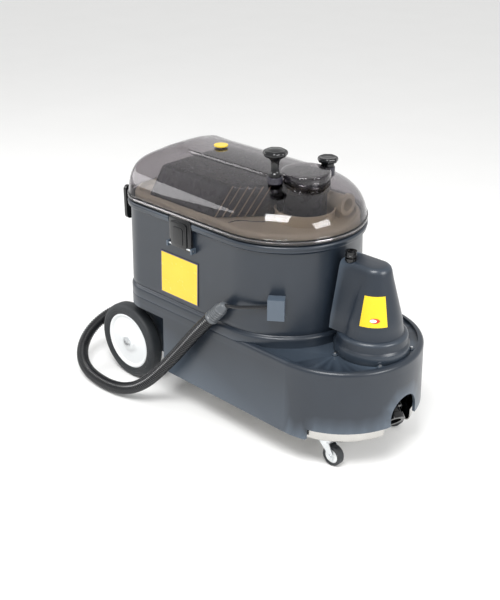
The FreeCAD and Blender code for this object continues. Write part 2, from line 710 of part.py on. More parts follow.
def make_inlet_port():
    """Round port that brings the dirty water in, facing the nose."""
    x = tank_x + 0.66 * body_half
    neck = turned("port_neck", [(port_radius - 5, -34), (port_radius, -34), (port_radius, -4),
                                (port_radius + 5, 0), (port_radius + 5, 7), (port_radius - 5, 7)],
                  (x, port_y, port_z), "X")
    foot = cut("port_leg_cut", block("port_leg", (x - 30, port_y - 8, basin_floor),
                                     (x - 8, port_y + 8, port_z)),
               [rod("port_leg_bore", (x - 60, port_y, port_z), port_radius - 2, 120, "X")])
    return fused("inlet_port", [neck, foot])


def make_float():
    """Hollow ball that lifts with the water and shuts the outlet."""
    ball = doc.addObject("Part::Sphere", "float_ball_outer")
    bind(ball, "Radius", float_radius)
    placed(ball, (turret_x, 0, basin_floor + cage_wall + float_radius + 0.3))
    core = doc.addObject("Part::Sphere", "float_ball_core")
    bind(core, "Radius", float_radius - 2)
    placed(core, (turret_x, 0, basin_floor + cage_wall + float_radius + 0.3))
    return cut("float_ball", ball, [core])


node(make_lift_knob(), "lift_knob")
node(make_relief_knob(), "relief_knob")
node(make_badge(), "lid_badge")
node(make_cage(), "separator_cage")
node(make_separator_box(), "separator_box")
node(make_inlet_port(), "inlet_port")
node(make_float(), "float_ball")


# ---------------------------------------------------------------- side latches
latch_pin_reach = body_half - 0.5


def make_latch(side):
    """Flat latch with a raised frame; it swings out about a pin at its foot."""
    sign = SIDES[side]
    inner, outer = body_half - 6, body_half + 5
    low_y, high_y = (-outer, -inner) if sign < 0 else (inner, outer)
    start, end = latch_x - latch_width / 2, latch_x + latch_width / 2
    plate = block(f"latch_plate_{side}", (start, low_y, latch_pin_z), (end, high_y, rim_top + 1.5))
    foot = rod(f"latch_foot_{side}", (start, sign * latch_pin_reach, latch_pin_z), 5.5, latch_width, "X")
    near, far = body_half - 1, body_half + 20
    low_y, high_y = (-far, -near) if sign < 0 else (near, far)
    dish = block(f"latch_dish_{side}", (start + 14, low_y, latch_pin_z + 12), (end - 14, high_y, rim_top - 14))
    bore = rod(f"latch_bore_{side}", (start - 20, sign * latch_pin_reach, latch_pin_z),
               2.5 + running_gap, latch_width + 40, "X")
    return cut(f"latch_{side}", fused(f"latch_whole_{side}", [plate, foot]), [dish, bore])


def make_latch_pin(side):
    return rod(f"latch_pin_{side}", (latch_x - latch_width / 2 - 7, SIDES[side] * latch_pin_reach, latch_pin_z),
               2.5, latch_width + 14, "X")


for side in SIDES:
    node(make_latch(side), f"latch_{side}")
    node(make_latch_pin(side), f"latch_pin_{side}")


# ---------------------------------------------------------------- motor hood and what it covers
hood_knee = 80


def make_hood():
    """Tapered hood on the nose deck: stepped foot, round front, a back that meets the tank."""
    rise = hood_top - deck_z

    def column(label, inset):
        return turned(label, [
            (0, 0), (hood_radius - inset, 0), (hood_radius - inset, 22), (hood_radius - 5 - inset, 28),
            (hood_radius - 6 - inset, 46), (hood_neck - inset, 54), (hood_neck - 5 - inset, hood_knee),
            (hood_top_half - 4 - inset, rise - 10 - inset), (hood_top_half - 14 - inset, rise - inset),
            (0, rise - inset)], (hood_x, 0, deck_z))

    def bridge(label, inset):
        body = new_body(label)
        low = new_sketch(body, offset=0)
        back = tank_x + body_half + 3 - hood_x
        half = hood_radius - 22
        polygon(low, rectangle(back + inset, -half + inset, 20, half - inset))
        high = new_sketch(body, offset=rise - inset)
        polygon(high, rectangle(back + inset, -hood_top_half + 4 + inset, 0, hood_top_half - 4 - inset))
        doc.recompute()
        loft = body.newObject("PartDesign::AdditiveLoft", label + "_loft")
        loft.Profile = low
        loft.Sections = [high]
        doc.recompute()
        return placed(body, (hood_x, 0, deck_z))

    ears = [rod(f"hood_ear_{index}", (x, y, deck_z), 7, 4) for index, (x, y) in enumerate(screw_places())]
    bores = [rod(f"hood_ear_bore_{index}", (x, y, deck_z - 5), 2, 20)
             for index, (x, y) in enumerate(screw_places())]
    outer = cut("hood_outside", fused("hood_outer", [column("hood_column", 0), bridge("hood_bridge", 0), *ears]),
                [rod("hood_tank_gap", (tank_x, 0, deck_z - 5), body_half + 1.5, rise + 20)])
    inner = cut("hood_inside", fused("hood_inner", [column("hood_column_inner", 3), bridge("hood_bridge_inner", 3)]),
                [rod("hood_tank_gap_inner", (tank_x, 0, deck_z - 5), body_half + 4.5, rise + 20)])
    seat = rod("coupling_seat", (coupling_x, coupling_y, hood_top - 20), 9 + running_gap, 40)
    return cut("motor_hood", outer, [inner, seat, *bores])


def make_coupling():
    """Black quick coupling for the wand's solution hose."""
    return turned("coupling_body", [(4, -14), (9, -14), (9, 0.3), (13, 0.3), (13, 6), (8, 6),
                                    (8, 24), (4, 24)], (coupling_x, coupling_y, hood_top))


def make_coupling_collar():
    return turned("coupling_collar", [(8 + running_gap, 10), (13, 10), (13, 13), (12, 14), (12, 19),
                                      (13, 20), (13, 22), (8 + running_gap, 22)],
                  (coupling_x, coupling_y, hood_top))


def make_motor():
    return turned("vacuum_motor", [(0, 0), (52, 0), (52, 12), (44, 14), (44, 92), (30, 98), (0, 98)],
                  (hood_x, 0, deck_z))


def make_fan():
    """Cooling fan on the motor's shaft."""
    core = turned("fan_core", [(0, 99), (8, 99), (8, 112), (0, 112)], (hood_x, 0, deck_z))
    blades = []
    for index in range(8):
        blade = doc.addObject("Part::Box", f"fan_blade_{index}")
        bind(blade, "Length", 34)
        bind(blade, "Width", 2)
        bind(blade, "Height", 11)
        placed(blade, (hood_x, 0, deck_z + 100), Rotation(Vector(0, 0, 1), 45 * index))
        blades.append(blade)
    return fused("cooling_fan", [core, *blades])


def make_pump():
    """Solution pump on the pan."""
    bed = pan_low + pan_sheet
    base = block("pump_block", (60, -40, bed), (170, 40, bed + 60))
    head = rod("pump_head", (170, 0, bed + 32), 26, 34, "X")
    return fused("solution_pump", [base, head])


node(make_hood(), "motor_hood")
node(make_coupling(), "coupling_body")
node(make_coupling_collar(), "coupling_collar")
node(make_motor(), "vacuum_motor")
node(make_fan(), "cooling_fan")
node(make_pump(), "solution_pump")


# ---------------------------------------------------------------- front connector
def make_connector():
    """Round hose connector in the nose arch, tipped down and to the right, on a mounting plate."""
    tip = Rotation(Vector(0, 0, 1), -25) * Rotation(Vector(0, 1, 0), 90 + 38)
    at = (nose_x + body_half - 38, 3, arch_top - arch_half - 16)
    spigot = turned("connector_spigot", [(0, -90), (22, -90), (22, -22), (29, -20), (29, -4), (23, -2),
                                         (23, 8), (26, 10), (26, 24), (0, 24)], at, tip)
    plate = block("connector_plate", (nose_x + body_half - 92, -arch_half + 3, skirt_nose_low + 5),
                  (nose_x + body_half - 86, arch_half - 3, arch_top))
    start = tip.multVec(Vector(0, 0, -100))
    bore = rod("connector_bore", [value + shift for value, shift in zip(at, start)], 16, 140, tip)
    return cut("front_connector", fused("connector_solid", [spigot, plate]), [bore])


def make_hood_screws():
    """Four pan-head screws through the ears of the hood's foot."""
    screws = [turned(f"hood_screw_{index}", [(0, -10), (2, -10), (2, 0), (3.7, 0), (3, 3), (0, 3.6)],
                     (x, y, deck_z + 4)) for index, (x, y) in enumerate(screw_places())]
    return group("hood_screws", screws)


node(make_connector(), "front_connector")


# ---------------------------------------------------------------- rear axle and wheels
def make_wheel(side):
    """Solid tyre, moulded hub and hub cap; the axle rod stays still in the hub."""
    sign = SIDES[side]
    at = (wheel_x, sign * (wheel_outer - wheel_width), wheel_radius)
    axis = "-Y" if sign < 0 else "Y"
    edge = wheel_width
    tread = wheel_radius
    node(turned(f"tyre_{side}", [
        (hub_radius, 3), (hub_radius + 8, 0), (tread - 7, 0), (tread - 1.5, 5), (tread, 11),
        (tread, edge - 11), (tread - 1.5, edge - 5), (tread - 7, edge), (hub_radius + 8, edge),
        (hub_radius, edge - 3)], at, axis), f"tyre_{side}")
    bore = axle_radius + running_gap
    node(turned(f"hub_{side}", [
        (bore, 0), (20, 0), (20, 22), (hub_radius - 7, 26), (hub_radius - 7, 3), (hub_radius, 3),
        (hub_radius, edge - 3), (hub_radius - 4, edge - 1.5), (hub_radius - 9, edge - 6),
        (28, edge - 6), (22, edge - 1), (bore, edge - 1)], at, axis), f"hub_{side}")
    node(turned(f"hub_cap_{side}", [(0, edge - 1), (13, edge - 1), (13, edge + 1.5),
                                    (10, edge + 3.5), (0, edge + 4)], at, axis), f"hub_cap_{side}")


node(rod("rear_axle", (wheel_x, -(wheel_outer - 1.5), wheel_radius), axle_radius,
         2 * (wheel_outer - 1.5), "Y"), "rear_axle")
for side in SIDES:
    make_wheel(side)


# ---------------------------------------------------------------- castors
def make_castor(side):
    """Swivel castor: plate with its pin, fork, axle, tyre and hub."""
    y = SIDES[side] * castor_y
    axle_x = castor_x + castor_trail
    half = castor_width / 2
    plate = block(f"castor_plate_base_{side}", (castor_x - 30, y - 25, pan_low - 3),
                  (castor_x + 30, y + 25, pan_low))
    pin = rod(f"castor_pin_{side}", (castor_x, y, pan_low - 22), 5, 21)
    head = rod(f"castor_pin_head_{side}", (castor_x, y, pan_low - 24.5), 8, 3)
    node(fused(f"castor_plate_{side}", [plate, pin, head]), f"castor_plate_{side}")

    bore = 5 + running_gap
    race = turned(f"castor_race_{side}", [
        (bore, 3.5), (9, 3.5), (9, 0), (17, 0), (17, 5), (20, 7), (20, 16), (16, 20.5), (bore, 20.5)],
        (castor_x, y, pan_low - 24))
    legs = []
    for offset in (-(half + 3.5), half + 1):
        leg = new_body(f"castor_leg_{side}")
        outline = new_sketch(leg, "XZ_Plane")
        polygon(outline, [(-15, pan_low - 19), (15, pan_low - 19), (castor_trail + 8, castor_radius + 10),
                          (castor_trail + 8, castor_radius - 7), (castor_trail - 8, castor_radius - 7),
                          (castor_trail - 9, castor_radius + 8)])
        feature(leg, "Pad", outline, 2.5)
        legs.append(placed(leg, (castor_x, y + offset + 2.5, 0)))
    eye = rod(f"castor_eye_{side}", (axle_x, y - castor_width, castor_radius), 3 + running_gap,
              2 * castor_width, "Y")
    node(cut(f"castor_fork_{side}", fused(f"castor_fork_whole_{side}", [race, *legs]), [eye]),
         f"castor_fork_{side}")
    shank = rod(f"castor_shank_{side}", (axle_x, y - half - 4, castor_radius), 3, 2 * half + 8, "Y")
    heads = [rod(f"castor_head_{end}_{side}", (axle_x, y + shift, castor_radius), 5.5, 2.5, "Y")
             for end, shift in (("near", -(half + 6)), ("far", half + 3.5))]
    node(fused(f"castor_axle_{side}", [shank, *heads]), f"castor_axle_{side}")
    rim = castor_radius - 7
    at = (axle_x, y - half, castor_radius)
    node(turned(f"castor_tyre_{side}", [(rim, 1), (castor_radius - 2, 0), (castor_radius, 3),
                                        (castor_radius, castor_width - 3), (castor_radius - 2, castor_width),
                                        (rim, castor_width - 1)], at, "Y"), f"castor_tyre_{side}")
    node(turned(f"castor_hub_{side}", [(3 + running_gap, 0.3), (8, 0.3), (9, 3), (rim, 3),
                                       (rim, castor_width - 3), (9, castor_width - 3),
                                       (8, castor_width - 0.3), (3 + running_gap, castor_width - 0.3)],
                at, "Y"), f"castor_hub_{side}")


for side in SIDES:
    make_castor(side)


# ---------------------------------------------------------------- rear fittings
wall_back = rear_x + 5
switch_places = (-30, 0)


def make_hook(side):
    """Cable hook: a round stem and a tall flat head with rounded ends."""
    y = SIDES[side] * hook_y
    face = wall_back - hook_reach
    foot = rod(f"hook_foot_{side}", (wall_back + 2, y, hook_z), 16, 7, "-X")
    stem = rod(f"hook_stem_{side}", (wall_back, y, hook_z), 9, hook_reach, "-X")
    head = block(f"hook_head_{side}", (face - 9, y - 11, hook_z - 33), (face, y + 11, hook_z + 33))
    ends = [rod(f"hook_end_{end}_{side}", (face, y, hook_z + shift), 11, 9, "-X")
            for end, shift in (("low", -33), ("high", 33))]
    whole = fused(f"hook_whole_{side}", [foot, stem, head, *ends])
    return cut(f"hook_solid_{side}", whole, [nodes["tank_shell"]])


def make_panel():
    """Switch panel on the rear wall: plate with two switch openings and a cable gland hole."""
    plate = block("panel_plate", (wall_back - 8, -52, panel_z - 34), (wall_back + 2, 52, panel_z + 34))
    holes = [block(f"panel_hole_{index}", (wall_back - 20, y - 10.5, panel_z - 15),
                   (wall_back + 5, y + 10.5, panel_z + 15)) for index, y in enumerate(switch_places)]
    gland = rod("panel_gland_hole", (wall_back + 5, gland_y, panel_z - 10), 10, 30, "-X")
    framed = cut("panel_frame", plate, [*holes, gland, nodes["tank_shell"]])
    pins = [rod(f"panel_pin_{index}", (wall_back - 5, y - 12, panel_z), 1.4, 24, "Y")
            for index, y in enumerate(switch_places)]
    return fused("switch_panel", [framed, *pins])


def make_switch(label, y):
    """Rocker that tips about a cross pin in the panel."""
    body = new_body(label)
    side_view = new_sketch(body, "XZ_Plane")
    polygon(side_view, [(-5.5, -13), (-3, 0), (-5.5, 13), (1, 12), (3, 0), (1, -12)])
    feature(body, "Pad", side_view, 19)
    rocker = placed(body, (wall_back - 5, y + 9.5, panel_z))
    return cut(label, rocker, [rod(label + "_bore", (wall_back - 5, y - 15, panel_z), 1.4 + running_gap, 30, "Y")])


def make_gland():
    """Cable gland for the mains lead."""
    return turned("cable_gland", [(4.5, -4), (10 - clear_gap, -4), (10 - clear_gap, 8), (14, 8),
                                  (14, 14), (11, 22), (8, 24), (4.5, 24)],
                  (wall_back, gland_y, panel_z - 10), "-X")


def make_drain_stub():
    """Drain elbow: a flange on the housing's rear wall and a spigot that the hose grips."""
    return turned("drain_stub", [(10, -12), (14, -12), (14, 0), (24, 0), (24, 5), (17, 6), (17, 12),
                                 (hose_radius + 2.5, 12), (hose_radius + 2.5, hose_start),
                                 (10, hose_start)], (rear_x, stub_y, stub_z), "-X")


node(group("cable_hooks", [make_hook(side) for side in SIDES]), "cable_hooks")
node(make_panel(), "switch_panel")
node(make_switch("vacuum_switch", -30), "vacuum_switch")
node(make_switch("pump_switch", 0), "pump_switch")
node(make_gland(), "cable_gland")
node(make_drain_stub(), "drain_stub")


# ---------------------------------------------------------------- labels
wall_lean = math.degrees(math.atan2(number_of(tank_taper) - 4, number_of(rim_top - flange_depth - deck_z) - 20))


def make_side_label(side):
    """Thin label on the leaning side wall of the tank."""
    sign = SIDES[side]
    foot_half = tank_foot_half - 4 - (label_low - deck_z - 20) * math.tan(math.radians(wall_lean)) + 0.3
    item = doc.addObject("Part::Box", f"side_label_{side}")
    bind(item, "Length", label_width)
    bind(item, "Width", 0.7)
    bind(item, "Height", label_height)
    y = sign * foot_half if sign > 0 else -foot_half - 0.7
    return placed(item, (label_x, y, label_low), Rotation(Vector(1, 0, 0), sign * wall_lean))


def make_hood_label():
    """Label wrapped round the hood's front quarter."""
    lift, thick = 0.4, 0.7
    body = new_body("hood_label_body")
    profile = new_sketch(body, "XZ_Plane")
    rise = hood_top - deck_z
    foot_z, top_z = 84, 150

    def hood_at(height):
        return hood_neck - 5 - (height - hood_knee) * (hood_neck - 1 - hood_top_half) / (rise - 10 - hood_knee)

    foot, top = hood_at(foot_z), hood_at(top_z)
    polygon(profile, [(foot + lift, foot_z), (top + lift, top_z), (top + lift + thick, top_z),
                      (foot + lift + thick, foot_z)])
    feature(body, "Revolution", profile).Angle = 56
    turn = Rotation(Vector(0, 0, 1), -52 - 28)
    return placed(body, (hood_x, 0, deck_z), turn)


node(group("side_labels", [make_side_label(side) for side in SIDES]), "side_labels")
node(make_hood_label(), "hood_label")
node(make_hood_screws(), "hood_screws")


# ---------------------------------------------------------------- drain hose
HOSE_ROUTE = [
    (-391, -97, 149), (-430, -110, 139), (-460, -134, 120), (-477, -165, 97), (-478, -198, 73),
    (-462, -229, 50), (-431, -252, 31), (-389, -264, 20), (-343, -268, 17), (-298, -267, 17),
    (-253, -262, 24), (-211, -254, 42), (-172, -245, 72), (-136, -237, 111), (-99, -229, 155),
    (-59, -222, 205), (-18, -215, 257), (24, -209, 304)]


def hose_path(points):
    """Straight runs joined by tangent arcs, as wide as the two runs at each point allow."""
    edges = []
    start = points[0]
    for before, point, after in zip(points, points[1:], points[2:]):
        arriving, leaving = point - before, after - point
        turn = arriving.getAngle(leaving)
        reach = 0.45 * min(arriving.Length, leaving.Length)
        bend = reach / math.tan(turn / 2)
        arriving.normalize()
        leaving.normalize()
        first, last = point - arriving * reach, point + leaving * reach
        inward = leaving - arriving
        inward.normalize()
        middle = point + inward * (bend / math.cos(turn / 2) - bend)
        edges.append(Part.LineSegment(start, first).toShape())
        edges.append(Part.Arc(first, middle, last).toShape())
        print(f"hose bend {bend:.0f} mm at {tuple(point)}")
        start = last
    edges.append(Part.LineSegment(start, points[-1]).toShape())
    return Part.Wire(edges)


def made_shape(label, shape):
    item = doc.addObject("Part::Feature", label)
    item.Shape = shape
    return item


def make_hose():
    """Corrugated drain hose as a plain tube along its route."""
    exit_point = Vector(number_of(rear_x - hose_start), number_of(stub_y), number_of(stub_z))
    points = [exit_point] + [Vector(*point) for point in HOSE_ROUTE]
    path = hose_path(points)
    radius = number_of(hose_radius)
    ring = Part.Wire([Part.makeCircle(radius, exit_point, points[1] - exit_point)])
    tube = path.makePipeShell([ring], True, False)
    expected = math.pi * radius ** 2 * path.Length
    print(f"hose {path.Length:.0f} mm long, tube volume is {tube.Volume / expected:.4f} of its section")
    return made_shape("drain_hose", tube)


hose_end = Vector(*HOSE_ROUTE[-1])
end_heading = hose_end - Vector(*HOSE_ROUTE[-2])
end_heading.normalize()
end_turn = Rotation(Vector(0, 0, 1), end_heading)


def make_hose_cuff():
    """Ridged cuff on the hose's end, closed by a plug with an eye for its tail."""
    r = hose_radius
    corners = [(0, 0), (r + 1.5, 0), (r + 1.5, 6)]
    for index in range(4):
        foot = 8 + 9 * index
        corners += [(r - 1.5, foot), (r - 1.5, foot + 3), (r + 0.5, foot + 5), (r + 0.5, foot + 8)]
    corners += [(r - 3, 45), (r - 5, 58), (6, 62), (0, 62)]
    return turned("hose_cuff", corners, tuple(hose_end), end_turn)


def make_hose_tail():
    """Thin rod from the cuff to the bracket on the tank."""
    start = hose_end + end_heading * 58
    knee = Vector(96, -199, 352)
    finish = Vector(*[number_of(value) for value in bracket_middle()])
    path = hose_path([start, knee, finish])
    ring = Part.Wire([Part.makeCircle(4, start, knee - start)])
    return made_shape("hose_tail", path.makePipeShell([ring], True, False))


def bracket_middle():
    angle = math.radians(-53)
    reach = number_of(tank_foot_half) - 7 + 11
    return (number_of(tank_x) + reach * math.cos(angle), reach * math.sin(angle), 364)


def make_bracket():
    """Block on the tank's front wall that holds the end of the hose."""
    turn = Rotation(Vector(0, 0, 1), -53)
    back = number_of(tank_foot_half) - 8
    corner = Vector(number_of(tank_x), 0, 337) + turn.multVec(Vector(back, -19, 0))
    item = doc.addObject("Part::Box", "hose_bracket_block")
    bind(item, "Length", 27)
    bind(item, "Width", 38)
    bind(item, "Height", 50)
    placed(item, tuple(corner), turn)
    return cut("hose_bracket", item, [nodes["tank_shell"]])


node(make_hose(), "drain_hose")
node(make_hose_cuff(), "hose_cuff")
node(make_hose_tail(), "hose_tail")
node(make_bracket(), "hose_bracket")


doc.recompute()
for item in doc.Objects:
    if "Invalid" in item.State or "Error" in item.State:
        raise RuntimeError(f"{item.Label} doesn't recompute: {item.State}")
for name, item in nodes.items():
    shape = item.Shape
    if shape.isNull() or not shape.isValid() or not shape.Solids:
        raise RuntimeError(f"{name} has no valid solid")
    print(f"{name}: {len(shape.Solids)} solid(s), {shape.Volume / 1000:.1f} cm3, {shape.BoundBox}")
os.makedirs("parts", exist_ok=True)
for name, item in nodes.items():
    item.Shape.exportStep(f"parts/{name}.step")
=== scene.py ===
# %% [markdown]
# # A carpet cleaner, dressed in Blender
#
# The machine arrives as a finished CAD frame: 55 pieces, each in its place, with its joints.
# This file gives every piece the finish of the real material and rebuilds the pieces whose
# look depends on soft, flowing shapes: the clear lid, the moulded tank, the motor hood, the
# knobs and the corrugated drain hose. Lengths are metres, +X points to the nose, +Z is up.

# %% Load the frame
import json
import math
import bpy
import bmesh
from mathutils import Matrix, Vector


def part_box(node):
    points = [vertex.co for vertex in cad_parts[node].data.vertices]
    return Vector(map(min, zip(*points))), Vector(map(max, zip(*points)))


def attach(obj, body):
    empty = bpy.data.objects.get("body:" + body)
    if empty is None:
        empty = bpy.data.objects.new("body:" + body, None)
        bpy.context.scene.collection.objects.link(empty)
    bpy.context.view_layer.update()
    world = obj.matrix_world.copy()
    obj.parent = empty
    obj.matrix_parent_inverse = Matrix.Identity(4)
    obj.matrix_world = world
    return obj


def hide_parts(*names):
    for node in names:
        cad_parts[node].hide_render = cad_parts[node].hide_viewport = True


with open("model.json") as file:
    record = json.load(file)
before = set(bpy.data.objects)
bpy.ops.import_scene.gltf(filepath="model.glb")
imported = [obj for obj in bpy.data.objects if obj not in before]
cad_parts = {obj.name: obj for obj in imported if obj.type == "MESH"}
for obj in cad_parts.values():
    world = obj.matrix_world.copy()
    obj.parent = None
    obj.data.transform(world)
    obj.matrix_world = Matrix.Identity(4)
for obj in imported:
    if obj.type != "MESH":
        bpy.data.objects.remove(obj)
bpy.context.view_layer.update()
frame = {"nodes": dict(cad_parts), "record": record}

nodes = frame["nodes"]
MM = 0.001

# %% [markdown]
# ## The camera
#
# A product picture is taken from above the near front corner with a long lens, so that the
# near and the far wheel keep almost the same size. The camera looks along one line that is
# given by two angles, the way a photographer would note them down.

# %% The camera
AZIMUTH = math.radians(44.1)
ELEVATION = math.radians(25.8)
CAMERA_DISTANCE = 2.487
LOOK_AT = Vector((-0.0555, 0.0, 0.2503))
camera_back = Vector((math.sin(AZIMUTH) * math.cos(ELEVATION),
                      -math.cos(AZIMUTH) * math.cos(ELEVATION), math.sin(ELEVATION)))
camera_data = bpy.data.cameras.new("product_camera")
camera_data.lens = 59.8
camera = bpy.data.objects.new("product_camera", camera_data)
camera.location = LOOK_AT + camera_back * CAMERA_DISTANCE
camera.rotation_mode = "QUATERNION"
camera.rotation_quaternion = (-camera_back).to_track_quat("-Z", "Y")
bpy.context.scene.collection.objects.link(camera)
bpy.context.scene.camera = camera
print("camera at", [round(value, 2) for value in camera.location])


# %% [markdown]
# ## Two small tools for materials
#
# Colours are written as the sRGB hex values that a paint program shows. The shader wants
# linear light, so one function converts them. A second one adds a shader node, sets its
# options and fills or links its inputs; every material below is made with it.

# %% Colour and node helpers
def linear(hex_colour, alpha=1.0):
    channels = [int(hex_colour[index:index + 2], 16) / 255 for index in (1, 3, 5)]
    steps = [value / 12.92 if value <= 0.04045 else ((value + 0.055) / 1.055) ** 2.4
             for value in channels]
    return (*steps, alpha)


def add(material, kind, inputs=None, **settings):
    """Adds one shader node; an input is a plain value or another node's output."""
    tree = material.node_tree
    item = tree.nodes.new("ShaderNode" + kind)
    for name, value in settings.items():
        setattr(item, name, value)
    for name, value in (inputs or {}).items():
        if isinstance(value, bpy.types.NodeSocket):
            tree.links.new(value, item.inputs[name])
        else:
            item.inputs[name].default_value = value
    return item


# %% [markdown]
# ## Patterns that know their size
#
# Each finish is a Principled shader whose colour, gloss and bump vary a little. The patterns
# are noises in object coordinates, so their scale can be given in real millimetres.

# %% Pattern helpers
def new_material(name):
    material = bpy.data.materials.new(name)
    material.use_nodes = True
    material.node_tree.nodes.clear()
    return material


def finish_surface(material, **inputs):
    named = {key.replace("_", " "): value for key, value in inputs.items()}
    shader = add(material, "BsdfPrincipled", named)
    out = add(material, "OutputMaterial")
    material.node_tree.links.new(shader.outputs["BSDF"], out.inputs["Surface"])
    return material


def speckle(material, millimetres, detail=2.0):
    """Soft random pattern whose patches are about that many millimetres wide."""
    where = add(material, "TexCoord").outputs["Object"]
    return add(material, "TexNoise", {"Vector": where, "Scale": 1000 / millimetres,
                                      "Detail": detail}).outputs["Fac"]


def between(material, factor, low, high):
    spread = add(material, "MapRange", {"Value": factor, "To Min": low, "To Max": high})
    return spread.outputs["Result"]


def mixed(material, factor, first, second):
    """Blends two colours, each a hex value or another node's colour."""
    mix = add(material, "Mix", {"Factor": factor}, data_type="RGBA")
    for slot, colour in ((6, first), (7, second)):
        if isinstance(colour, str):
            mix.inputs[slot].default_value = linear(colour)
        else:
            material.node_tree.links.new(colour, mix.inputs[slot])
    return mix.outputs[2]


def dented(material, height, strength, millimetres):
    return add(material, "Bump", {"Height": height, "Strength": strength,
                                  "Distance": millimetres * MM}).outputs["Normal"]


# %% [markdown]
# ## Rotomoulded polyethylene: housing, tank and hood
#
# Powder is melted against the wall of a turning mould. The skin copies the blasted steel,
# so it has a fine, shallow grain, a broad soft sheen and slight changes of gloss where the
# wall cooled at another pace. The grain is drawn a little coarser than the real 0.3 mm, which
# would be too fine to show. Edges get a painted highlight: they are coloured lighter, which the
# pointiness of the mesh gives.

# %% Rotomoulded polyethylene
EDGE_HIGHLIGHT_FROM, EDGE_HIGHLIGHT_FULL = 0.52, 0.6


def rotomoulded(name, shade, tint):
    material = new_material(name)
    # Painted highlight: where the mesh is sharp (high pointiness) the colour turns lighter, standing
    # in for the light that the rounded rims catch.
    edges = add(material, "NewGeometry").outputs["Pointiness"]
    edge_highlight = add(material, "MapRange", {"Value": edges, "From Min": EDGE_HIGHLIGHT_FROM,
                                        "From Max": EDGE_HIGHLIGHT_FULL}).outputs["Result"]
    colour = mixed(material, speckle(material, 90), shade, tint)
    colour = mixed(material, edge_highlight, colour, "#4A5561")
    rough = between(material, speckle(material, 35), 0.27, 0.37)
    grain = speckle(material, 1.6, 3.0)
    return finish_surface(material, Base_Color=colour, Roughness=rough, IOR=1.52,
                          Normal=dented(material, grain, 0.15, 0.22))


housing_finish = rotomoulded("rotomoulded_polyethylene_slate", "#1C232C", "#222A34")
bracket_finish = rotomoulded("moulded_polyethylene_grey", "#4D545C", "#565D65")


# %% [markdown]
# ## Moulded plastics
#
# Knobs, latches and the coupling are glossy black ABS; the inner tank is a beige natural
# polyethylene; the separator is smoked ABS; the wheel hubs are bright white polypropylene.
# Moulded skins differ mostly in gloss, so one recipe serves them all.

# %% Moulded plastics
def moulded(name, shade, tint, gloss_low, gloss_high, grain_mm=0.8, grain=0.08):
    material = new_material(name)
    colour = mixed(material, speckle(material, 40), shade, tint)
    rough = between(material, speckle(material, 14), gloss_low, gloss_high)
    return finish_surface(material, Base_Color=colour, Roughness=rough, IOR=1.5,
                          Normal=dented(material, speckle(material, grain_mm), grain, 0.1))


black_finish = moulded("gloss_black_abs", "#0B0C0E", "#121315", 0.12, 0.22)
beige_finish = moulded("natural_polyethylene_beige", "#DDD0B4", "#E6DABF", 0.3, 0.42)
dark_finish = moulded("smoked_abs", "#25242C", "#2E2D37", 0.22, 0.34)
white_finish = moulded("white_polypropylene", "#E6E9EA", "#F0F2F3", 0.28, 0.4)
grey_finish = moulded("grey_polypropylene", "#4B4F53", "#5A5E62", 0.3, 0.42)
# Light bronze colour for the separator's slot edges: a painted highlight for their shine.
slot_edge_highlight_finish = moulded("slot_edge_painted_highlight", "#A48F79", "#B9A48C", 0.25, 0.35)


# %% [markdown]
# ## Rubber and metals
#
# Tyre rubber is carbon black with a dry, slightly dusty surface. The pan is rolled and
# polished stainless steel, the castors are pressed steel with a bright zinc coat, whose
# crystals give small patches of different gloss.

# %% Rubber and metals
def rubber(name, shade, dust):
    material = new_material(name)
    colour = mixed(material, speckle(material, 12, 4.0), shade, dust)
    return finish_surface(material, Base_Color=colour, Roughness=0.58, IOR=1.52,
                          Normal=dented(material, speckle(material, 0.9, 4.0), 0.3, 0.2))


def metal(name, shade, tint, gloss_low, gloss_high, patch_mm):
    material = new_material(name)
    colour = mixed(material, speckle(material, patch_mm), shade, tint)
    rough = between(material, speckle(material, patch_mm * 0.6, 4.0), gloss_low, gloss_high)
    return finish_surface(material, Base_Color=colour, Metallic=1.0, Roughness=rough,
                          Normal=dented(material, speckle(material, 1.2, 4.0), 0.05, 0.1))


tyre_finish = rubber("tyre_rubber", "#1E2124", "#2B2F33")
seal_finish = rubber("seal_rubber", "#111214", "#191A1C")
steel_finish = metal("polished_stainless_steel", "#B4B2AF", "#C4C2BE", 0.16, 0.26, 30)
zinc_finish = metal("bright_zinc_plate", "#CFD2D4", "#E0E3E5", 0.22, 0.38, 5)
motor_finish = metal("cast_aluminium", "#A6A8AA", "#B5B7B9", 0.4, 0.5, 6)

# %% [markdown]
# ## Hose plastic and smoked polycarbonate
#
# The hose is extruded polyethylene with a fair gloss. The lid is blown from a smoke-tinted
# sheet about 3 mm thick. Light is bent at both faces and loses some of its strength on the
# way through, so the tint sits in the transmission colour, and the surface keeps the hard
# gloss of polished polycarbonate. A very shallow, wide wave stands for the pull of the
# blowing, which makes reflections wander a little. The index is set lower than the real 1.58,
# because a thin shell would otherwise darken at its rim more than the real one does.

# %% Hose plastic and smoked polycarbonate
hose_finish = moulded("extruded_black_polyethylene", "#0E0F12", "#16181C", 0.13, 0.2)


def smoked_clear(name, tint):
    material = new_material(name)
    wave = speckle(material, 60)
    return finish_surface(material, Base_Color=linear(tint), Roughness=0.05, IOR=1.46,
                          Transmission_Weight=1.0, Normal=dented(material, wave, 0.05, 1.0))


lid_finish = smoked_clear("smoked_polycarbonate", "#BBB7BA")


# %% [markdown]
# ## Printed vinyl
#
# The labels are yellow vinyl under a clear film. The side labels carry a thin dark line
# round their edge; it is drawn where the point on the label is near its outline.

# %% Printed vinyl
LINE_INSET, LINE_FADE = 3.5 * MM, 1 * MM


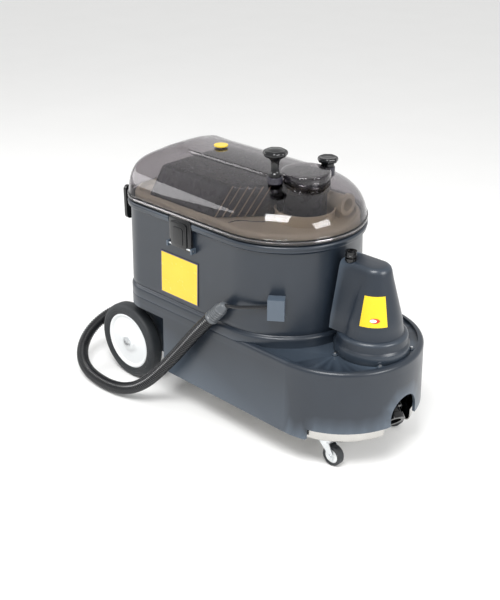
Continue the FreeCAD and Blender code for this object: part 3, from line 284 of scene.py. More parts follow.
def edge_line(material, low, high):
    """1 near the outline of a flat label that spans X and Z, 0 inside it."""
    place = add(material, "TexCoord").outputs["Object"]
    where = add(material, "SeparateXYZ", {"Vector": place})
    masks = []
    for axis, start, end in (("X", low[0], high[0]), ("Z", low[2], high[2])):
        middle, half = (start + end) / 2, (end - start) / 2
        off = add(material, "Math", {0: where.outputs[axis], 1: middle}, operation="SUBTRACT")
        far = add(material, "Math", {0: off.outputs[0]}, operation="ABSOLUTE").outputs[0]
        near = add(material, "MapRange", {"Value": far, "From Min": half - LINE_INSET,
                                          "From Max": half - LINE_INSET + LINE_FADE})
        masks.append(near.outputs["Result"])
    return add(material, "Math", {0: masks[0], 1: masks[1]}, operation="MAXIMUM").outputs[0]


def vinyl(name, lined_box=None):
    material = new_material(name)
    colour = mixed(material, speckle(material, 50), "#DDBB16", "#E6C522")
    if lined_box:
        colour = mixed(material, edge_line(material, *lined_box), colour, "#3A3550")
    rough = between(material, speckle(material, 9), 0.22, 0.3)
    return finish_surface(material, Base_Color=colour, Roughness=rough, IOR=1.5,
                          Coat_Weight=0.4, Coat_Roughness=0.1)


vinyl_finish = vinyl("yellow_vinyl")
side_vinyl_finish = vinyl("yellow_vinyl_with_line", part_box("side_labels"))

# %% Dress the CAD pieces
finishes = {
    "housing_plastic": housing_finish, "clear_lid": lid_finish, "beige_plastic": beige_finish,
    "black_plastic": black_finish, "dark_plastic": dark_finish, "white_plastic": white_finish,
    "tyre_rubber": tyre_finish, "seal_rubber": seal_finish, "stainless_steel": steel_finish,
    "zinc_steel": zinc_finish, "label_vinyl": vinyl_finish, "hose_plastic": hose_finish,
    "grey_plastic": grey_finish, "motor_metal": motor_finish,
}
slot_of = {part["node"]: part["material_slot"] for part in frame["record"]["subparts"]}
special = {"side_labels": side_vinyl_finish, "hose_bracket": bracket_finish}
for name, item in nodes.items():
    item.data.materials.clear()
    item.data.materials.append(special.get(name, finishes[slot_of[name]]))
print(len(nodes), "CAD pieces dressed in", len(finishes), "finishes")


# %% [markdown]
# ## Building skins
#
# Most of the machine's soft shapes are skins stretched over rings of points: a lathe turns one
# profile into round rings, a sweep carries a profile along the machine's outline, and the hood
# and the lid have rings of their own. One function joins the rings with quads.

# %% Skin builder
def finish_piece(name, mesh, finish, body, crease=40):
    mesh.materials.append(finish)
    mesh.shade_smooth()
    mesh.set_sharp_from_angle(angle=math.radians(crease))
    piece = bpy.data.objects.new(name, mesh)
    bpy.context.scene.collection.objects.link(piece)
    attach(piece, body)
    return piece


def skin_mesh(name, strips):
    """One mesh from strips of rings: (rings, closed ring, first end filled, last end filled)."""
    shape = bmesh.new()
    for rings, closed, fill_first, fill_last in strips:
        rows = [[shape.verts.new(point) for point in ring] for ring in rings]
        for row, following in zip(rows, rows[1:]):
            for index in range(len(row) if closed else len(row) - 1):
                after = (index + 1) % len(row)
                shape.faces.new((row[index], row[after], following[after], following[index]))
        for wanted, row in ((fill_first, rows[0]), (fill_last, rows[-1])):
            if wanted:
                shape.faces.new(row)
    bmesh.ops.remove_doubles(shape, verts=shape.verts, dist=1e-6)
    bmesh.ops.recalc_face_normals(shape, faces=shape.faces)
    mesh = bpy.data.meshes.new(name)
    shape.to_mesh(mesh)
    shape.free()
    return mesh


# %% Lathe
def lathe_rings(profile, centre, axis=(0, 0, 1), count=64, lobes=0, depth=0.0):
    """Rings round an axis from (radius, height) in millimetres; lobes scallop the wide rings."""
    turn = Vector((0, 0, 1)).rotation_difference(Vector(axis)).to_matrix()
    widest = max(radius for radius, _ in profile)
    rings = []
    for radius, height in profile:
        ring = []
        for index in range(count):
            angle = math.tau * index / count
            share = max(0.0, (radius / widest - 0.6) / 0.4)
            reach = radius * (1 - depth * share * (0.5 - 0.5 * math.cos(lobes * angle)))
            point = Vector((reach * math.cos(angle), reach * math.sin(angle), height)) * MM
            ring.append(turn @ point + Vector(centre))
        rings.append(ring)
    return rings


def lathe(name, profile, centre, finish, body, slot, axis=(0, 0, 1), **options):
    rings = lathe_rings(profile, centre, axis, **options)
    return finish_piece(name, skin_mesh(name, [(rings, True, False, False)]), finish, body)


# %% [markdown]
# ## The drain hose
#
# The hose leaves the outlet behind the near wheel, makes one wide loop that rests on the floor
# and climbs to a bracket on the tank. A curve through a few points gives a smooth line with an
# even bend, as a stiff corrugated hose takes. The ribs are rings whose radius swells and
# shrinks along that line, which keeps them square to it at every point.

# %% Hose route
HOSE_EXIT = Vector((-0.350, -0.096, 0.150))
HOSE_DIAMETER = 0.031
HOSE_ROUTE = [
    HOSE_EXIT,
    (-0.391, -0.097, 0.149), (-0.430, -0.110, 0.139), (-0.460, -0.134, 0.120), (-0.477, -0.165, 0.097),
    (-0.478, -0.198, 0.073), (-0.462, -0.229, 0.050), (-0.431, -0.252, 0.031), (-0.389, -0.264, 0.020),
    (-0.343, -0.268, 0.017), (-0.298, -0.267, 0.017), (-0.253, -0.262, 0.024), (-0.211, -0.254, 0.042),
    (-0.172, -0.245, 0.072), (-0.136, -0.237, 0.111), (-0.099, -0.229, 0.155), (-0.059, -0.222, 0.205),
    (-0.018, -0.215, 0.257), (0.024, -0.209, 0.304)]


def smooth_line(name, points, steps=14):
    """Points along a NURBS curve that has the given control points."""
    curve = bpy.data.curves.new(name, "CURVE")
    curve.dimensions = "3D"
    curve.resolution_u = steps
    spline = curve.splines.new("NURBS")
    spline.points.add(len(points) - 1)
    for control, point in zip(spline.points, points):
        control.co = (*point, 1)
    spline.order_u = 3
    spline.use_endpoint_u = True
    carrier = bpy.data.objects.new(name, curve)
    bpy.context.scene.collection.objects.link(carrier)
    bpy.context.view_layer.update()
    line = bpy.data.meshes.new_from_object(carrier)
    found = [vertex.co.copy() for vertex in line.vertices]
    bpy.data.objects.remove(carrier)
    bpy.data.curves.remove(curve)
    bpy.data.meshes.remove(line)
    return found


hose_line = smooth_line("hose_line", HOSE_ROUTE)
print("hose line", len(hose_line), "points,",
      round(sum((b - a).length for a, b in zip(hose_line, hose_line[1:])), 3), "m")


# %% Even steps along a line
def evenly(line, step):
    """Places and headings at equal steps along a line of points."""
    reach = [0.0]
    for before, after in zip(line, line[1:]):
        reach.append(reach[-1] + (after - before).length)
    count = max(2, round(reach[-1] / step))
    places, index = [], 0
    for number in range(count + 1):
        goal = reach[-1] * number / count
        while index < len(line) - 2 and reach[index + 1] < goal:
            index += 1
        share = (goal - reach[index]) / (reach[index + 1] - reach[index])
        places.append(line[index].lerp(line[index + 1], share))
    headings = [(after - before).normalized()
                for before, after in zip([places[0]] + places[:-1], places[1:] + [places[-1]])]
    return places, headings


def tube_rings(places, headings, radii, count=28):
    """Rings square to a line; the frame is carried along so that the tube doesn't twist."""
    side = headings[0].orthogonal().normalized()
    rings = []
    for place, heading, radius in zip(places, headings, radii):
        side = (side - heading * side.dot(heading)).normalized()
        other = heading.cross(side)
        rings.append([place + (side * math.cos(math.tau * index / count)
                               + other * math.sin(math.tau * index / count)) * radius
                      for index in range(count)])
    return rings


# %% Corrugated hose
RIB_PITCH = 6.4 * MM
RIB_DEPTH = 2.6 * MM
RIB_STEPS = 8
RIB_SHARPNESS = 1.5
places, headings = evenly(hose_line, RIB_PITCH / RIB_STEPS)
hose_radii = []
for index in range(len(places)):
    wave = 0.5 - 0.5 * math.cos(math.tau * index / RIB_STEPS)
    hose_radii.append(HOSE_DIAMETER / 2 - RIB_DEPTH * wave ** RIB_SHARPNESS)
hose_rings = tube_rings(places, headings, hose_radii)
hose_mesh = skin_mesh("drain_hose_skin", [(hose_rings, True, True, True)])
hose = finish_piece("drain_hose_skin", hose_mesh, hose_finish, "chassis", crease=80)
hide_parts("drain_hose")
print("hose ribs", len(places) // RIB_STEPS)

# %% [markdown]
# ## The hose's end
#
# The hose ends in a ridged grey cuff. A thin tail ties the cuff to the bracket on the tank.
# The cuff is turned as one profile of rounded ridges along the hose's last heading.

# %% Cuff and tail
end_place = Vector(HOSE_ROUTE[-1])
end_heading = (end_place - Vector(HOSE_ROUTE[-2])).normalized()
cuff_profile = [(0.0, 0), (15, 0), (17, 0.6), (17, 5.4), (15.5, 6.4)]
CUFF_RIDGES, RIDGE_START, RIDGE_PITCH = 5, 8, 7.2
for ridge in range(CUFF_RIDGES):
    start = RIDGE_START + RIDGE_PITCH * ridge
    cuff_profile += [(13.6, start), (13.9, start + 2), (15.6, start + 3), (15.8, start + 5),
                     (13.9, start + 6)]
cuff_profile += [(13.2, 46), (12, 50), (10.8, 57), (7, 61), (0, 62)]
cuff = lathe("hose_cuff_skin", cuff_profile, end_place, grey_finish, "chassis", "grey_plastic",
             end_heading)
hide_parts("hose_cuff")
nodes["hose_tail"].data.materials[0] = hose_finish


# %% [markdown]
# ## Sweeping along the machine's outline
#
# From above, the tank is a long round-cornered shape with a half-round nose. An outline
# function returns that shape shrunk by any amount, always with the same number of points, so
# a profile of (shrink, height) pairs becomes a skin. The rear wall leans less than the sides.

# %% Outline of the tank
TANK_X, TANK_HALF, REAR_X, REAR_CORNER = 59.0, 190.0, -331.0, 78.0
LATCH_X, LATCH_REACH = -97.0, 38.5
NOSE_STEPS, CORNER_STEPS = 72, 16
SIDE_STOPS = (20, -20, LATCH_X + LATCH_REACH + 1, LATCH_X + LATCH_REACH, LATCH_X,
              LATCH_X - LATCH_REACH, LATCH_X - LATCH_REACH - 1, -180)


def outline(inset, z, rear_share=1.0):
    """Points of the outline in metres, counter-clockwise, starting at the right side's front."""
    half, back = TANK_HALF - inset, REAR_X + inset * rear_share
    bend = max(REAR_CORNER - inset, 1.0)
    points = []
    for index in range(NOSE_STEPS + 1):
        angle = math.radians(-90 + 180 * index / NOSE_STEPS)
        points.append((TANK_X + half * math.cos(angle), half * math.sin(angle)))
    stops = [*SIDE_STOPS, back + bend + 10]
    points += [(x, half) for x in stops]
    for index in range(CORNER_STEPS + 1):
        angle = math.radians(90 + 90 * index / CORNER_STEPS)
        points.append((back + bend + bend * math.cos(angle), half - bend + bend * math.sin(angle)))
    points += [(back, (half - bend) * share) for share in (0.6, 0.2, -0.2, -0.6)]
    for index in range(CORNER_STEPS + 1):
        angle = math.radians(180 + 90 * index / CORNER_STEPS)
        points.append((back + bend + bend * math.cos(angle), -half + bend + bend * math.sin(angle)))
    points += [(x, -half) for x in reversed(stops)]
    return [Vector((x * MM, y * MM, z * MM)) for x, y in points]


def swept(profile, rear_share=1.0):
    return [outline(inset, z, rear_share) for inset, z in profile]


# %% [markdown]
# ## The tank
#
# The tank's wall leans in above a rounded ledge at its foot and ends in a fat rolled flange,
# where the mould turned the plastic over. The flange is notched where the latches lie. The
# roll is what catches the long highlight under the lid.

# %% Tank skin
def notched(rings, low_z, reach):
    """Presses the rings in at the latches, above a height."""
    for ring in rings:
        for point in ring:
            beside = abs(point.x / MM - LATCH_X) <= LATCH_REACH + 0.01
            if beside and point.z > low_z * MM and abs(point.y) > reach * MM:
                point.y = math.copysign(reach * MM, point.y)
    return rings


def arc_steps(centre, radius, start, end, count):
    return [(centre[0] - radius * math.cos(math.radians(start + (end - start) * index / count)),
             centre[1] + radius * math.sin(math.radians(start + (end - start) * index / count)))
            for index in range(count + 1)]


tank_profile = [(30, 258.2), (0.6, 258.2), (0.2, 260), (0.2, 277)]
tank_profile += arc_steps((8.2, 277), 8, 0, 70, 5)
tank_profile += [(7.2, 286.4), (5.6, 290), (5.4, 300), (10.9, 482), (9.5, 486), (5, 489), (2.2, 490.5)]
tank_profile += arc_steps((6, 499), 5.6, -35, 90, 8)
tank_profile += [(9, 507.2), (12, 507.9), (14.4, 507.9), (15, 506), (15, 300), (15, 263)]
REAR_LEAN_SHARE, NOTCH_LOW, NOTCH_REACH = 0.55, 420, 183
tank_rings = notched(swept(tank_profile, REAR_LEAN_SHARE), NOTCH_LOW, NOTCH_REACH)
LUG_OFFSET, LUG_Z, LUG_HALF_WIDTH, LUG_DEEP, LUG_RISE = 41, 439, 2.5, 7, 6
tank_strips = [(tank_rings, True, False, False)]
for side in (-1, 1):
    for x in (LATCH_X - LUG_OFFSET, LATCH_X + LUG_OFFSET):
        face = [(x - LUG_HALF_WIDTH, LUG_Z - LUG_DEEP), (x + LUG_HALF_WIDTH, LUG_Z - LUG_DEEP),
                (x + LUG_HALF_WIDTH, LUG_Z + LUG_RISE), (x - LUG_HALF_WIDTH, LUG_Z + LUG_RISE)]
        rows = [[Vector((px * MM, side * y * MM, pz * MM)) for px, pz in face]
                for y in (178, 193, 194)]
        tank_strips.append((rows, True, True, True))
tank = finish_piece("tank_skin", skin_mesh("tank_skin", tank_strips), housing_finish, "chassis",
                    crease=50)
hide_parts("tank_shell")
print("tank skin", len(tank.data.polygons), "faces")

# %% [markdown]
# ## The clear lid
#
# The lid is a blown bubble: its side rises in a tight curve, runs into a flat crown, and its
# rear end is steeper and rounder at the corners. A raised panel runs along the crown. Its
# height is a formula of the place, a soft minimum of a side curve, a rear curve and a corner
# curve, and the rings of the mesh run from the rim to the spine, closer where it bends most.

# %% Height of the lid
LID_BASE, LID_RISE, LID_HALF = 511.0, 117.0, 187.0
SHOULDER, REAR_RUN, PANEL_HALF = 85.0, 88.0, 57.0
CROWN_RADIUS = (((LID_HALF - SHOULDER) ** 2 + LID_RISE ** 2 - SHOULDER ** 2)
                / (2 * (LID_RISE - SHOULDER)))
REAR_FOOT, REAR_LOSS = 34, 28
CORNER_RADIUS, CORNER_BLEND, CORNER_RISE = 75, 72, 112
REAR_SOFTNESS, CORNER_SOFTNESS = 26, 12
PANEL_RAISE, PANEL_EDGE = 5.5, 5


def soft_step(value):
    value = min(max(value, 0.0), 1.0)
    return value * value * (3 - 2 * value)


def soft_lowest(first, second, reach):
    reach = min(reach, 0.5 * min(first, second) + 0.01)
    share = max(reach - abs(first - second), 0.0) / reach
    return min(first, second) - share * share * reach / 4


def lid_height(x, y):
    """Height of the lid above its base, all in millimetres."""
    out = abs(y) if x < TANK_X else math.hypot(x - TANK_X, y)
    out = min(out, LID_HALF)
    lean = (LID_HALF - SHOULDER) * CROWN_RADIUS / (CROWN_RADIUS - SHOULDER)
    if out > lean:
        side = math.sqrt(max(SHOULDER ** 2 - (out - LID_HALF + SHOULDER) ** 2, 0))
    else:
        side = LID_RISE - CROWN_RADIUS + math.sqrt(CROWN_RADIUS ** 2 - out ** 2)
    back = x - (REAR_X + 3)
    rear = LID_RISE + 6.0
    if back < REAR_RUN:
        roll = math.sqrt(max(REAR_RUN ** 2 - (REAR_RUN - back) ** 2, 0))
        rear = REAR_FOOT + (LID_RISE - REAR_LOSS) / REAR_RUN * roll
    corner_x = max(REAR_X + REAR_CORNER - x, 0)
    corner_y = max(abs(y) - (LID_HALF - CORNER_RADIUS), 0)
    edge = CORNER_RADIUS - math.hypot(corner_x, corner_y) if corner_x > 0 else LID_HALF - out
    share = min(max(edge, 0), CORNER_BLEND) / CORNER_BLEND
    corner = CORNER_RISE * math.sqrt(max(1 - (1 - share) ** 2, 0))
    if edge >= CORNER_BLEND:
        corner = LID_RISE + 12
    height = soft_lowest(soft_lowest(side, rear, REAR_SOFTNESS), corner, CORNER_SOFTNESS)
    off_panel = (soft_step((out - PANEL_HALF) / PANEL_EDGE) * soft_step((150 - out) / 70)
                 * soft_step((back - 30) / 60))
    return max(height - PANEL_RAISE * off_panel, 0.0)


# %% Lid skin
RIM_RINGS, RIM_HEIGHT, NEXT_HEIGHT, LID_WALL = 30, 9.8, 10.2, 2.6 * MM
PANEL_WIDTHS = (50, 53, 55, 56, 57, 58, 59, 60, 61, 62, 63, 65, 68)
shares = [0.0] + [(index / RIM_RINGS) ** 2 for index in range(1, RIM_RINGS + 1)]
shares += [1 - width / LID_HALF for width in PANEL_WIDTHS]
shares = sorted(set(round(share, 4) for share in shares))
rim = outline(3, LID_BASE, 1.0)
lid_rings = [outline(1.2, LID_BASE + 0.2), outline(0.9, LID_BASE + 1), outline(0.9, LID_BASE + 8),
             outline(1.6, LID_BASE + 9.2), outline(2.7, LID_BASE + 9.6)]
for share in shares:
    ring = []
    for point in rim:
        x, y = point.x / MM, point.y / MM
        spine_x = min(max(x, REAR_X + LID_HALF), TANK_X)
        at_x, at_y = x + (spine_x - x) * share, y * (1 - share)
        height = max(lid_height(at_x, at_y), RIM_HEIGHT if share == 0 else NEXT_HEIGHT)
        ring.append(Vector((at_x * MM, at_y * MM, (LID_BASE + height) * MM)))
    lid_rings.append(ring)


def walled(piece, thickness):
    """Gives a single skin a wall that grows inward."""
    wall = piece.modifiers.new("wall", "SOLIDIFY")
    wall.thickness = thickness
    wall.offset = -1


lid = finish_piece("lid_skin", skin_mesh("lid_skin", [(lid_rings, True, False, False)]), lid_finish,
                   "lid", crease=60)
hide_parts("lid_dome")
walled(lid, LID_WALL)
print("lid skin", len(lid.data.polygons), "faces, crown at",
      round(LID_BASE + lid_height(-100, 0), 1), "mm")

# %% [markdown]
# ## Turret and knob posts
#
# The turret is a round box that stands up out of the lid, with a small radius round its flat
# top. Each knob stands on a round post. They are turned from profiles that start a little
# below the lid's skin.

# %% Turret and posts
TURRET_X, TURRET_RADIUS, TURRET_TOP = 117.0, 57.0, 630.0
TURRET_LOW, TURRET_BEND, TURRET_WALL = 586, 6, 2.2 * MM
turret_profile = [(TURRET_RADIUS, TURRET_LOW), (TURRET_RADIUS, TURRET_TOP - TURRET_BEND)]
for angle in (15, 30, 45, 60, 75, 90):
    turn = math.radians(angle)
    turret_profile.append((TURRET_RADIUS - TURRET_BEND + TURRET_BEND * math.cos(turn),
                           TURRET_TOP - TURRET_BEND + TURRET_BEND * math.sin(turn)))
turret_profile += [(30, TURRET_TOP), (0, TURRET_TOP)]
turret = lathe("lid_turret", turret_profile, (TURRET_X * MM, 0, 0), lid_finish, "lid", "clear_lid",
               count=96)
walled(turret, TURRET_WALL)
LIFT_AT, RELIEF_AT = Vector((0.0916, -0.073, 0.626)), Vector((0.116, 0.077, 0.620))
POST_RADIUS, POST_BORE = 17, 5.2
for name, at, deep in (("lift_post", LIFT_AT, 14), ("relief_post", RELIEF_AT, 20)):
    lathe(name, [(POST_BORE, -deep), (POST_RADIUS, -deep), (POST_RADIUS, -1.5), (POST_RADIUS - 1.5, 0),
                 (POST_BORE, 0), (POST_BORE, -deep)], at, dark_finish, "lid", "dark_plastic")

# %% [markdown]
# ## The two knobs
#
# The lift knob is a tall mushroom with a scalloped edge for wet hands, the relief knob a low
# cup of the same family. A scalloped edge is a lathe ring whose radius dips seven times.

# %% Knobs
lift_profile = [(0, -15), (5, -15), (5, 0.4), (14, 0.4), (15, 1.6), (14.6, 6), (11, 9), (9.2, 14),
                (8.4, 24), (9.4, 34), (13, 41), (20, 45), (25.5, 48), (28, 51.5), (28, 55),
                (26, 58.5), (22, 60.6), (19, 60), (15, 61.2), (8, 62.6), (0, 63)]
lift = lathe("lift_knob_skin", lift_profile, LIFT_AT, black_finish, "lift_knob", "black_plastic",
             count=112, lobes=7, depth=0.09)
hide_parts("lift_knob")
relief_profile = [(0, -15), (5, -15), (5, 0.4), (14, 0.4), (15, 1.5), (15, 8), (19, 10.4),
                  (22.5, 11.6), (23.6, 13), (24, 17), (22.8, 20.6), (20.5, 22.4), (17, 22),
                  (14, 20.8), (6, 21), (0, 21.6)]
relief = lathe("relief_knob_skin", relief_profile, RELIEF_AT, black_finish, "relief_knob",
               "black_plastic", count=112, lobes=7, depth=0.08)
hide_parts("relief_knob")

# %% [markdown]
# ## The separator under the lid
#
# Dirty water is thrown against a dark box that fills the rear of the lid. Its walls lean in,
# its front narrows to the turret in two slanting faces, and those faces carry upright slots
# whose edges shine through the lid. The slots are drawn as raised strips in a light bronze
# colour, a painted highlight for the shine of their edges.

# %% Separator box
FOOT_Z, BOX_Z = 516.3, 588.0
foot_half = [(-248, 153), (-27, 153), (18, 99), (60, 50)]
top_half = [(-240, 113), (-15, 113), (25, 80), (58, 45)]


def mirrored(points):
    return [(x, -y) for x, y in points] + [(x, y) for x, y in reversed(points)]


foot_ring = [Vector((x * MM, y * MM, FOOT_Z * MM)) for x, y in mirrored(foot_half)]
top_ring = [Vector((x * MM, y * MM, BOX_Z * MM)) for x, y in mirrored(top_half)]
box_mesh = skin_mesh("separator_box_skin", [([foot_ring, top_ring], True, True, True)])
box = finish_piece("separator_box_skin", box_mesh, dark_finish, "chassis")
soft = box.modifiers.new("rounded", "BEVEL")
soft.width, soft.segments = 9 * MM, 4
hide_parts("separator_box")

# %% Louvres of the box
def along(points, reach):
    """The point at a distance along a line of (x, y) points."""
    for (x0, y0), (x1, y1) in zip(points, points[1:]):
        length = math.hypot(x1 - x0, y1 - y0)
        if reach <= length:
            return x0 + (x1 - x0) * reach / length, y0 + (y1 - y0) * reach / length
        reach -= length
    return points[-1]


LOUVRES, FIRST_LOUVRE, LOUVRE_PITCH, LOUVRE_LEAN, TOP_LAG = 6, 226, 17, 16, 4
LOUVRE_SECTION = ((-1.6, -2), (-1.6, 1.2), (1.6, 1.2), (1.6, -2))
louvre_strips = []
for number in range(LOUVRES):
    reach = FIRST_LOUVRE + LOUVRE_PITCH * number
    for side in (-1, 1):
        out = Vector((0.6, side * 0.8, 0.25)).normalized()
        tangent = Vector((0.65, -side * 0.75, 0)).normalized()
        rows = []
        for share in (0.02, 0.35, 0.7, 0.98):
            foot_x, foot_y = along(foot_half, reach + LOUVRE_LEAN * share)
            top_x, top_y = along(top_half, reach + LOUVRE_LEAN * share - TOP_LAG)
            at = Vector((foot_x + (top_x - foot_x) * share,
                         side * (foot_y + (top_y - foot_y) * share),
                         FOOT_Z + (BOX_Z - FOOT_Z) * share))
            rows.append([(at + tangent * u + out * v) * MM for u, v in LOUVRE_SECTION])
        louvre_strips.append((rows, True, True, True))
louvre_mesh = skin_mesh("separator_louvres", louvre_strips)
# The strips carry the light colour that paints the shine of the slot edges.
finish_piece("separator_louvres", louvre_mesh, slot_edge_highlight_finish, "chassis")
print("louvres", len(louvre_strips))

# %% [markdown]
# ## The round cage, its tray and a seam in the basin
#
# Below the turret stands the cage that the air leaves through. It is dark above and stands in
# a shallow tray with a bright lip. A thin moulded seam crosses the basin floor.

# %% Cage and tray
turret_axis = (TURRET_X * MM, 0, 0)
cage_profile = [(46, 517), (49, 517), (49.5, 520), (49.5, 600), (50, 602), (50, 619), (48.5, 621),
                (16, 621), (16, 619), (46, 619), (46, 517)]
cage = lathe("separator_cage_skin", cage_profile, turret_axis, dark_finish, "chassis",
             "dark_plastic", count=96)
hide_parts("separator_cage")
tray_profile = [(51, 516.4), (66, 516.4), (68, 519), (68, 538), (70, 541), (69.4, 543.4), (67, 543),
                (65.6, 539), (65, 520), (51, 519.5), (51, 516.4)]
lathe("cage_tray", tray_profile, turret_axis, beige_finish, "chassis", "beige_plastic", count=96)
SEAM_ROUTE = [(0.018, -0.150, 0.5165), (0.016, -0.128, 0.5165), (0.030, -0.110, 0.5165),
              (0.052, -0.100, 0.5165), (0.070, -0.082, 0.5165)]
SEAM_STEP, SEAM_RADIUS = 3 * MM, 1.4 * MM
seam_places, seam_headings = evenly(smooth_line("seam_line", SEAM_ROUTE), SEAM_STEP)
seam_rings = tube_rings(seam_places, seam_headings, [SEAM_RADIUS] * len(seam_places), 10)
finish_piece("basin_seam", skin_mesh("basin_seam", [(seam_rings, True, True, True)]), dark_finish,
             "chassis")

# %% [markdown]
# ## The motor hood
#
# The hood is moulded like the tank. Its round stepped foot carries a tapered column whose
# rear runs straight back to the tank, so that every level is a bullet shape. Levels close
# together round the top give it soft shoulders.

# %% Hood levels
HOOD_X, DECK_Z, HOOD_RISE, HOOD_BACK = 325.0, 258.0, 207.0, 252.0
TANK_CLEAR, FOOT_STEPS, ARC_POINTS = 192, 96, 64


def on_hood(x, y, height):
    return Vector((x, y, DECK_Z + height)) * MM


def foot_ring(radius, height):
    """A round level, pressed back where the tank's foot stands."""
    ring = []
    for index in range(FOOT_STEPS):
        angle = math.tau * index / FOOT_STEPS
        x, y = HOOD_X + radius * math.cos(angle), radius * math.sin(angle)
        reach = math.hypot(x - TANK_X, y)
        if reach < TANK_CLEAR:
            x, y = TANK_X + (x - TANK_X) * TANK_CLEAR / reach, y * TANK_CLEAR / reach
        ring.append(on_hood(x, y, height))
    return ring


def bullet_ring(radius, half, height):
    """A level with a round front and straight sides that run back to the tank."""
    turn = math.pi - math.asin(min(half / radius, 1.0))
    angles = [-turn + 2 * turn * index / (ARC_POINTS - 1) for index in range(ARC_POINTS)]
    arc = [(HOOD_X + radius * math.cos(angle), radius * math.sin(angle)) for angle in angles]
    arc_end = arc[0][0]
    sides = [arc_end + (HOOD_BACK - arc_end) * share for share in (0.25, 0.5, 0.75, 1.0)]
    ring = arc + [(x, half) for x in sides] + [(HOOD_BACK, half * share) for share in (0.5, 0, -0.5)]
    ring += [(x, -half) for x in reversed(sides)]
    return [on_hood(x, y, height) for x, y in ring]


# %% Hood skin
foot_levels = [(84.5, 0), (86, 1.5), (86, 19), (85, 23), (81.5, 26.5), (80.4, 29), (80.2, 42),
               (79, 46), (75, 49.5), (71, 51), (66, 51.5), (20, 51.5)]
body_levels = [(70.5, 64, 50.5), (69.5, 63.5, 54), (68, 62.5, 60), (66.2, 61.5, 70), (65, 60, 80),
               (60.2, 56, 98), (54.9, 51.5, 118), (49.6, 47, 138), (44.3, 43, 158),
               (39.8, 39.5, 175), (37.4, 37.3, 186), (35.4, 35.3, 195), (32.6, 32.5, 201.5),
               (28, 27.9, 205.6), (22, 21.9, HOOD_RISE), (4, 3.9, HOOD_RISE)]
foot_strip = ([foot_ring(radius, height) for radius, height in foot_levels], True, False, True)
body_strip = ([bullet_ring(radius, half, height) for radius, half, height in body_levels],
              True, False, True)
EAR_REACH, EAR_PROFILE = 90, [(7, 0.1), (7, 3.2), (6.2, 4), (0, 4)]
hood_strips = [foot_strip, body_strip]
for angle in (-115, -40, 40, 115):
    turn = math.radians(angle)
    centre = on_hood(HOOD_X + EAR_REACH * math.cos(turn), EAR_REACH * math.sin(turn), 0)
    hood_strips.append((lathe_rings(EAR_PROFILE, centre, count=32), True, False, False))
hood = finish_piece("motor_hood_skin", skin_mesh("motor_hood_skin", hood_strips), housing_finish,
                    "chassis", crease=50)
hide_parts("motor_hood")
print("hood skin", len(hood.data.polygons), "faces")

# %% [markdown]
# ## Wheels
#
# The white hub is a dished disc with a fat rim and a raised boss; the tyre is solid rubber
# with rounded shoulders and two grooves moulded round its side.

# %% Hub and tyre
WHEEL_X, WHEEL_Z, WHEEL_INNER = -328.0, 101.6, 143.0
hub_profile = [(8.1, 0), (20, 0), (20, 20), (66, 24), (68, 22), (68, 3), (75, 3), (75, 34),
               (73, 35.6), (70, 35.2), (67.5, 33), (65, 30.5), (40, 29.6), (31, 30.2), (27, 32.5),
               (23, 36), (21, 37), (8.1, 37), (8.1, 0)]
tyre_profile = [(75, 3.2), (78, 1), (84, 0.2), (94, 0.6), (98.5, 3), (100.8, 7), (101.6, 12),
                (101.6, 26), (100.8, 31), (98.5, 35), (94, 37.4), (90, 37.8), (89, 37), (88, 37.8),
                (84, 37.8), (83, 37), (82, 37.8), (79, 37.2), (75, 34.8), (75, 3.2)]
for side, sign in (("right", -1), ("left", 1)):
    centre = (WHEEL_X * MM, sign * WHEEL_INNER * MM, WHEEL_Z * MM)
    hub = lathe(f"hub_skin_{side}", hub_profile, centre, white_finish, f"wheel_{side}",
                "white_plastic", axis=(0, sign, 0), count=96)
    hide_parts(f"hub_{side}")
    tyre = lathe(f"tyre_skin_{side}", tyre_profile, centre, tyre_finish, f"wheel_{side}",
                 "tyre_rubber", axis=(0, sign, 0), count=128)
    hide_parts(f"tyre_{side}")

# %% [markdown]
# ## Latches
#
# Each latch is a black moulded strap with a raised grip. Three slabs with round corners, each
# smaller than the one below it, give the steps, and their softened edges catch the light.

# %% Latches
def rounded_slab(x0, x1, y0, y1, z0, z1, corner):
    """Rings across a slab whose outline has round corners, from one Y face to the other."""
    rows = []
    for y, shrink in ((y0, 1.2), (y0 + (y1 - y0) * 0.15, 0), (y0 + (y1 - y0) * 0.8, 0), (y1, 1.6)):
        ring = []
        for cx, cz, start in ((x1 - corner, z1 - corner, 0), (x0 + corner, z1 - corner, 90),
                              (x0 + corner, z0 + corner, 180), (x1 - corner, z0 + corner, 270)):
            for index in range(9):
                angle = math.radians(start + 90 * index / 8)
                ring.append(Vector((cx + (corner - shrink) * math.cos(angle), y,
                                    cz + (corner - shrink) * math.sin(angle))) * MM)
        rows.append(ring)
    return rows, True, True, True


for side, sign in (("right", -1), ("left", 1)):
    strips = [rounded_slab(LATCH_X - 37, LATCH_X + 37, sign * 184.5, sign * 190, 434.8, 509, 9),
              rounded_slab(LATCH_X - 29, LATCH_X + 25, sign * 189.5, sign * 193.4, 437, 500, 8),
              rounded_slab(LATCH_X - 20, LATCH_X + 14, sign * 193.0, sign * 195, 444, 488, 7)]
    latch_mesh = skin_mesh(f"latch_skin_{side}", strips)
    latch = finish_piece(f"latch_skin_{side}", latch_mesh, black_finish, f"latch_{side}",
                         crease=45)
    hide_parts(f"latch_{side}")

# %% [markdown]
# ## A plain patch on the hood's label
#
# The hood's label carries a small two-colour oval near its foot. It is a plain sticker with no
# letters: two thin plates that follow the hood's cone.

# %% Oval patch
CONE_FOOT_RADIUS, CONE_FOOT, CONE_LOSS, CONE_RISE, LABEL_PROUD = 65, 80, 31, 117, 1.5
OVAL_STEPS = 40


def cone_radius(height):
    """Radius of the label's face on the hood at a height above the deck."""
    return CONE_FOOT_RADIUS - (height - CONE_FOOT) * CONE_LOSS / CONE_RISE + LABEL_PROUD


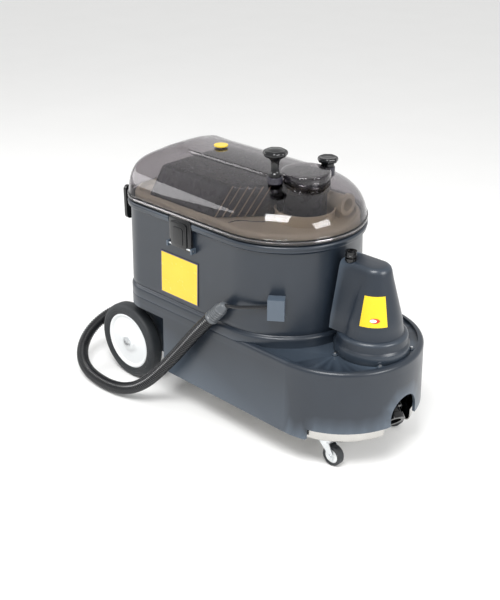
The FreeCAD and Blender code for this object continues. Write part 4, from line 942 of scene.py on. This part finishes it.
def oval(name, finish, middle_angle, middle_height, wide, tall, proud):
    centre_radius = cone_radius(middle_height)
    ring = []
    for index in range(OVAL_STEPS):
        turn = math.tau * index / OVAL_STEPS
        height = middle_height + tall * math.sin(turn)
        angle = math.radians(middle_angle) + wide * math.cos(turn) / centre_radius
        radius = cone_radius(height) + proud
        ring.append(on_hood(HOOD_X + radius * math.cos(angle), radius * math.sin(angle), height))
    mesh = bpy.data.meshes.new(name)
    mesh.from_pydata(ring, [], [tuple(range(OVAL_STEPS))])
    return finish_piece(name, mesh, finish, "chassis")


patch_red = moulded("red_print", "#C22B1E", "#CF3A2A", 0.25, 0.32, 0.6, 0.02)
patch_white = moulded("white_print", "#F2F2EE", "#FAFAF6", 0.25, 0.32, 0.6, 0.02)
oval("label_patch_red", patch_red, -50, 99, 11, 5.2, 0.3)
oval("label_patch_white", patch_white, -53, 99, 7.5, 3.4, 0.6)


# %% [markdown]
# ## Studio
#
# A pale floor that runs out of sight, a large soft light above the near side, weaker ones from
# the nose and the rear and an even white surround, so that the dark plastic shows long soft
# highlights along its rims.

# %% Floor and light
def floor_material():
    material = new_material("pale_studio_paper")
    colour = mixed(material, speckle(material, 300), "#F4F4F3", "#F7F7F6")
    return finish_surface(material, Base_Color=colour, Roughness=0.9, IOR=1.3)


FLOOR_HALF = 30.0
floor_corners = [(x * FLOOR_HALF, y * FLOOR_HALF, 0) for x, y in ((-1, -1), (1, -1), (1, 1), (-1, 1))]
floor_mesh = bpy.data.meshes.new("studio_floor")
floor_mesh.from_pydata(floor_corners, [], [(0, 1, 2, 3)])
floor = bpy.data.objects.new("studio_floor", floor_mesh)
floor_mesh.materials.append(floor_material())
bpy.context.scene.collection.objects.link(floor)


SOFTBOX_SHAPE = 0.7
SURROUND_STRENGTH = 0.8


def soft_light(name, place_at, aim, width, watts):
    data = bpy.data.lights.new(name, "AREA")
    data.shape = "RECTANGLE"
    data.size = width
    data.size_y = width * SOFTBOX_SHAPE
    data.energy = watts
    light = bpy.data.objects.new(name, data)
    light.location = place_at
    light.rotation_mode = "QUATERNION"
    light.rotation_quaternion = (Vector(aim) - Vector(place_at)).to_track_quat("-Z", "Y")
    bpy.context.scene.collection.objects.link(light)


soft_light("key_softbox", (0.7, -1.3, 2.4), (0, 0, 0.3), 1.2, 52)
soft_light("nose_softbox", (2.3, 0.2, 1.5), (0.1, 0, 0.3), 1.0, 26)
soft_light("rear_softbox", (-2.2, -1.2, 1.6), (-0.2, 0, 0.3), 1.4, 16)
world = bpy.data.worlds.new("studio_surround")
world.use_nodes = True
background = world.node_tree.nodes["Background"]
background.inputs["Color"].default_value = (1, 1, 1, 1)
background.inputs["Strength"].default_value = SURROUND_STRENGTH
bpy.context.scene.world = world
bpy.context.scene.view_settings.view_transform = "Standard"
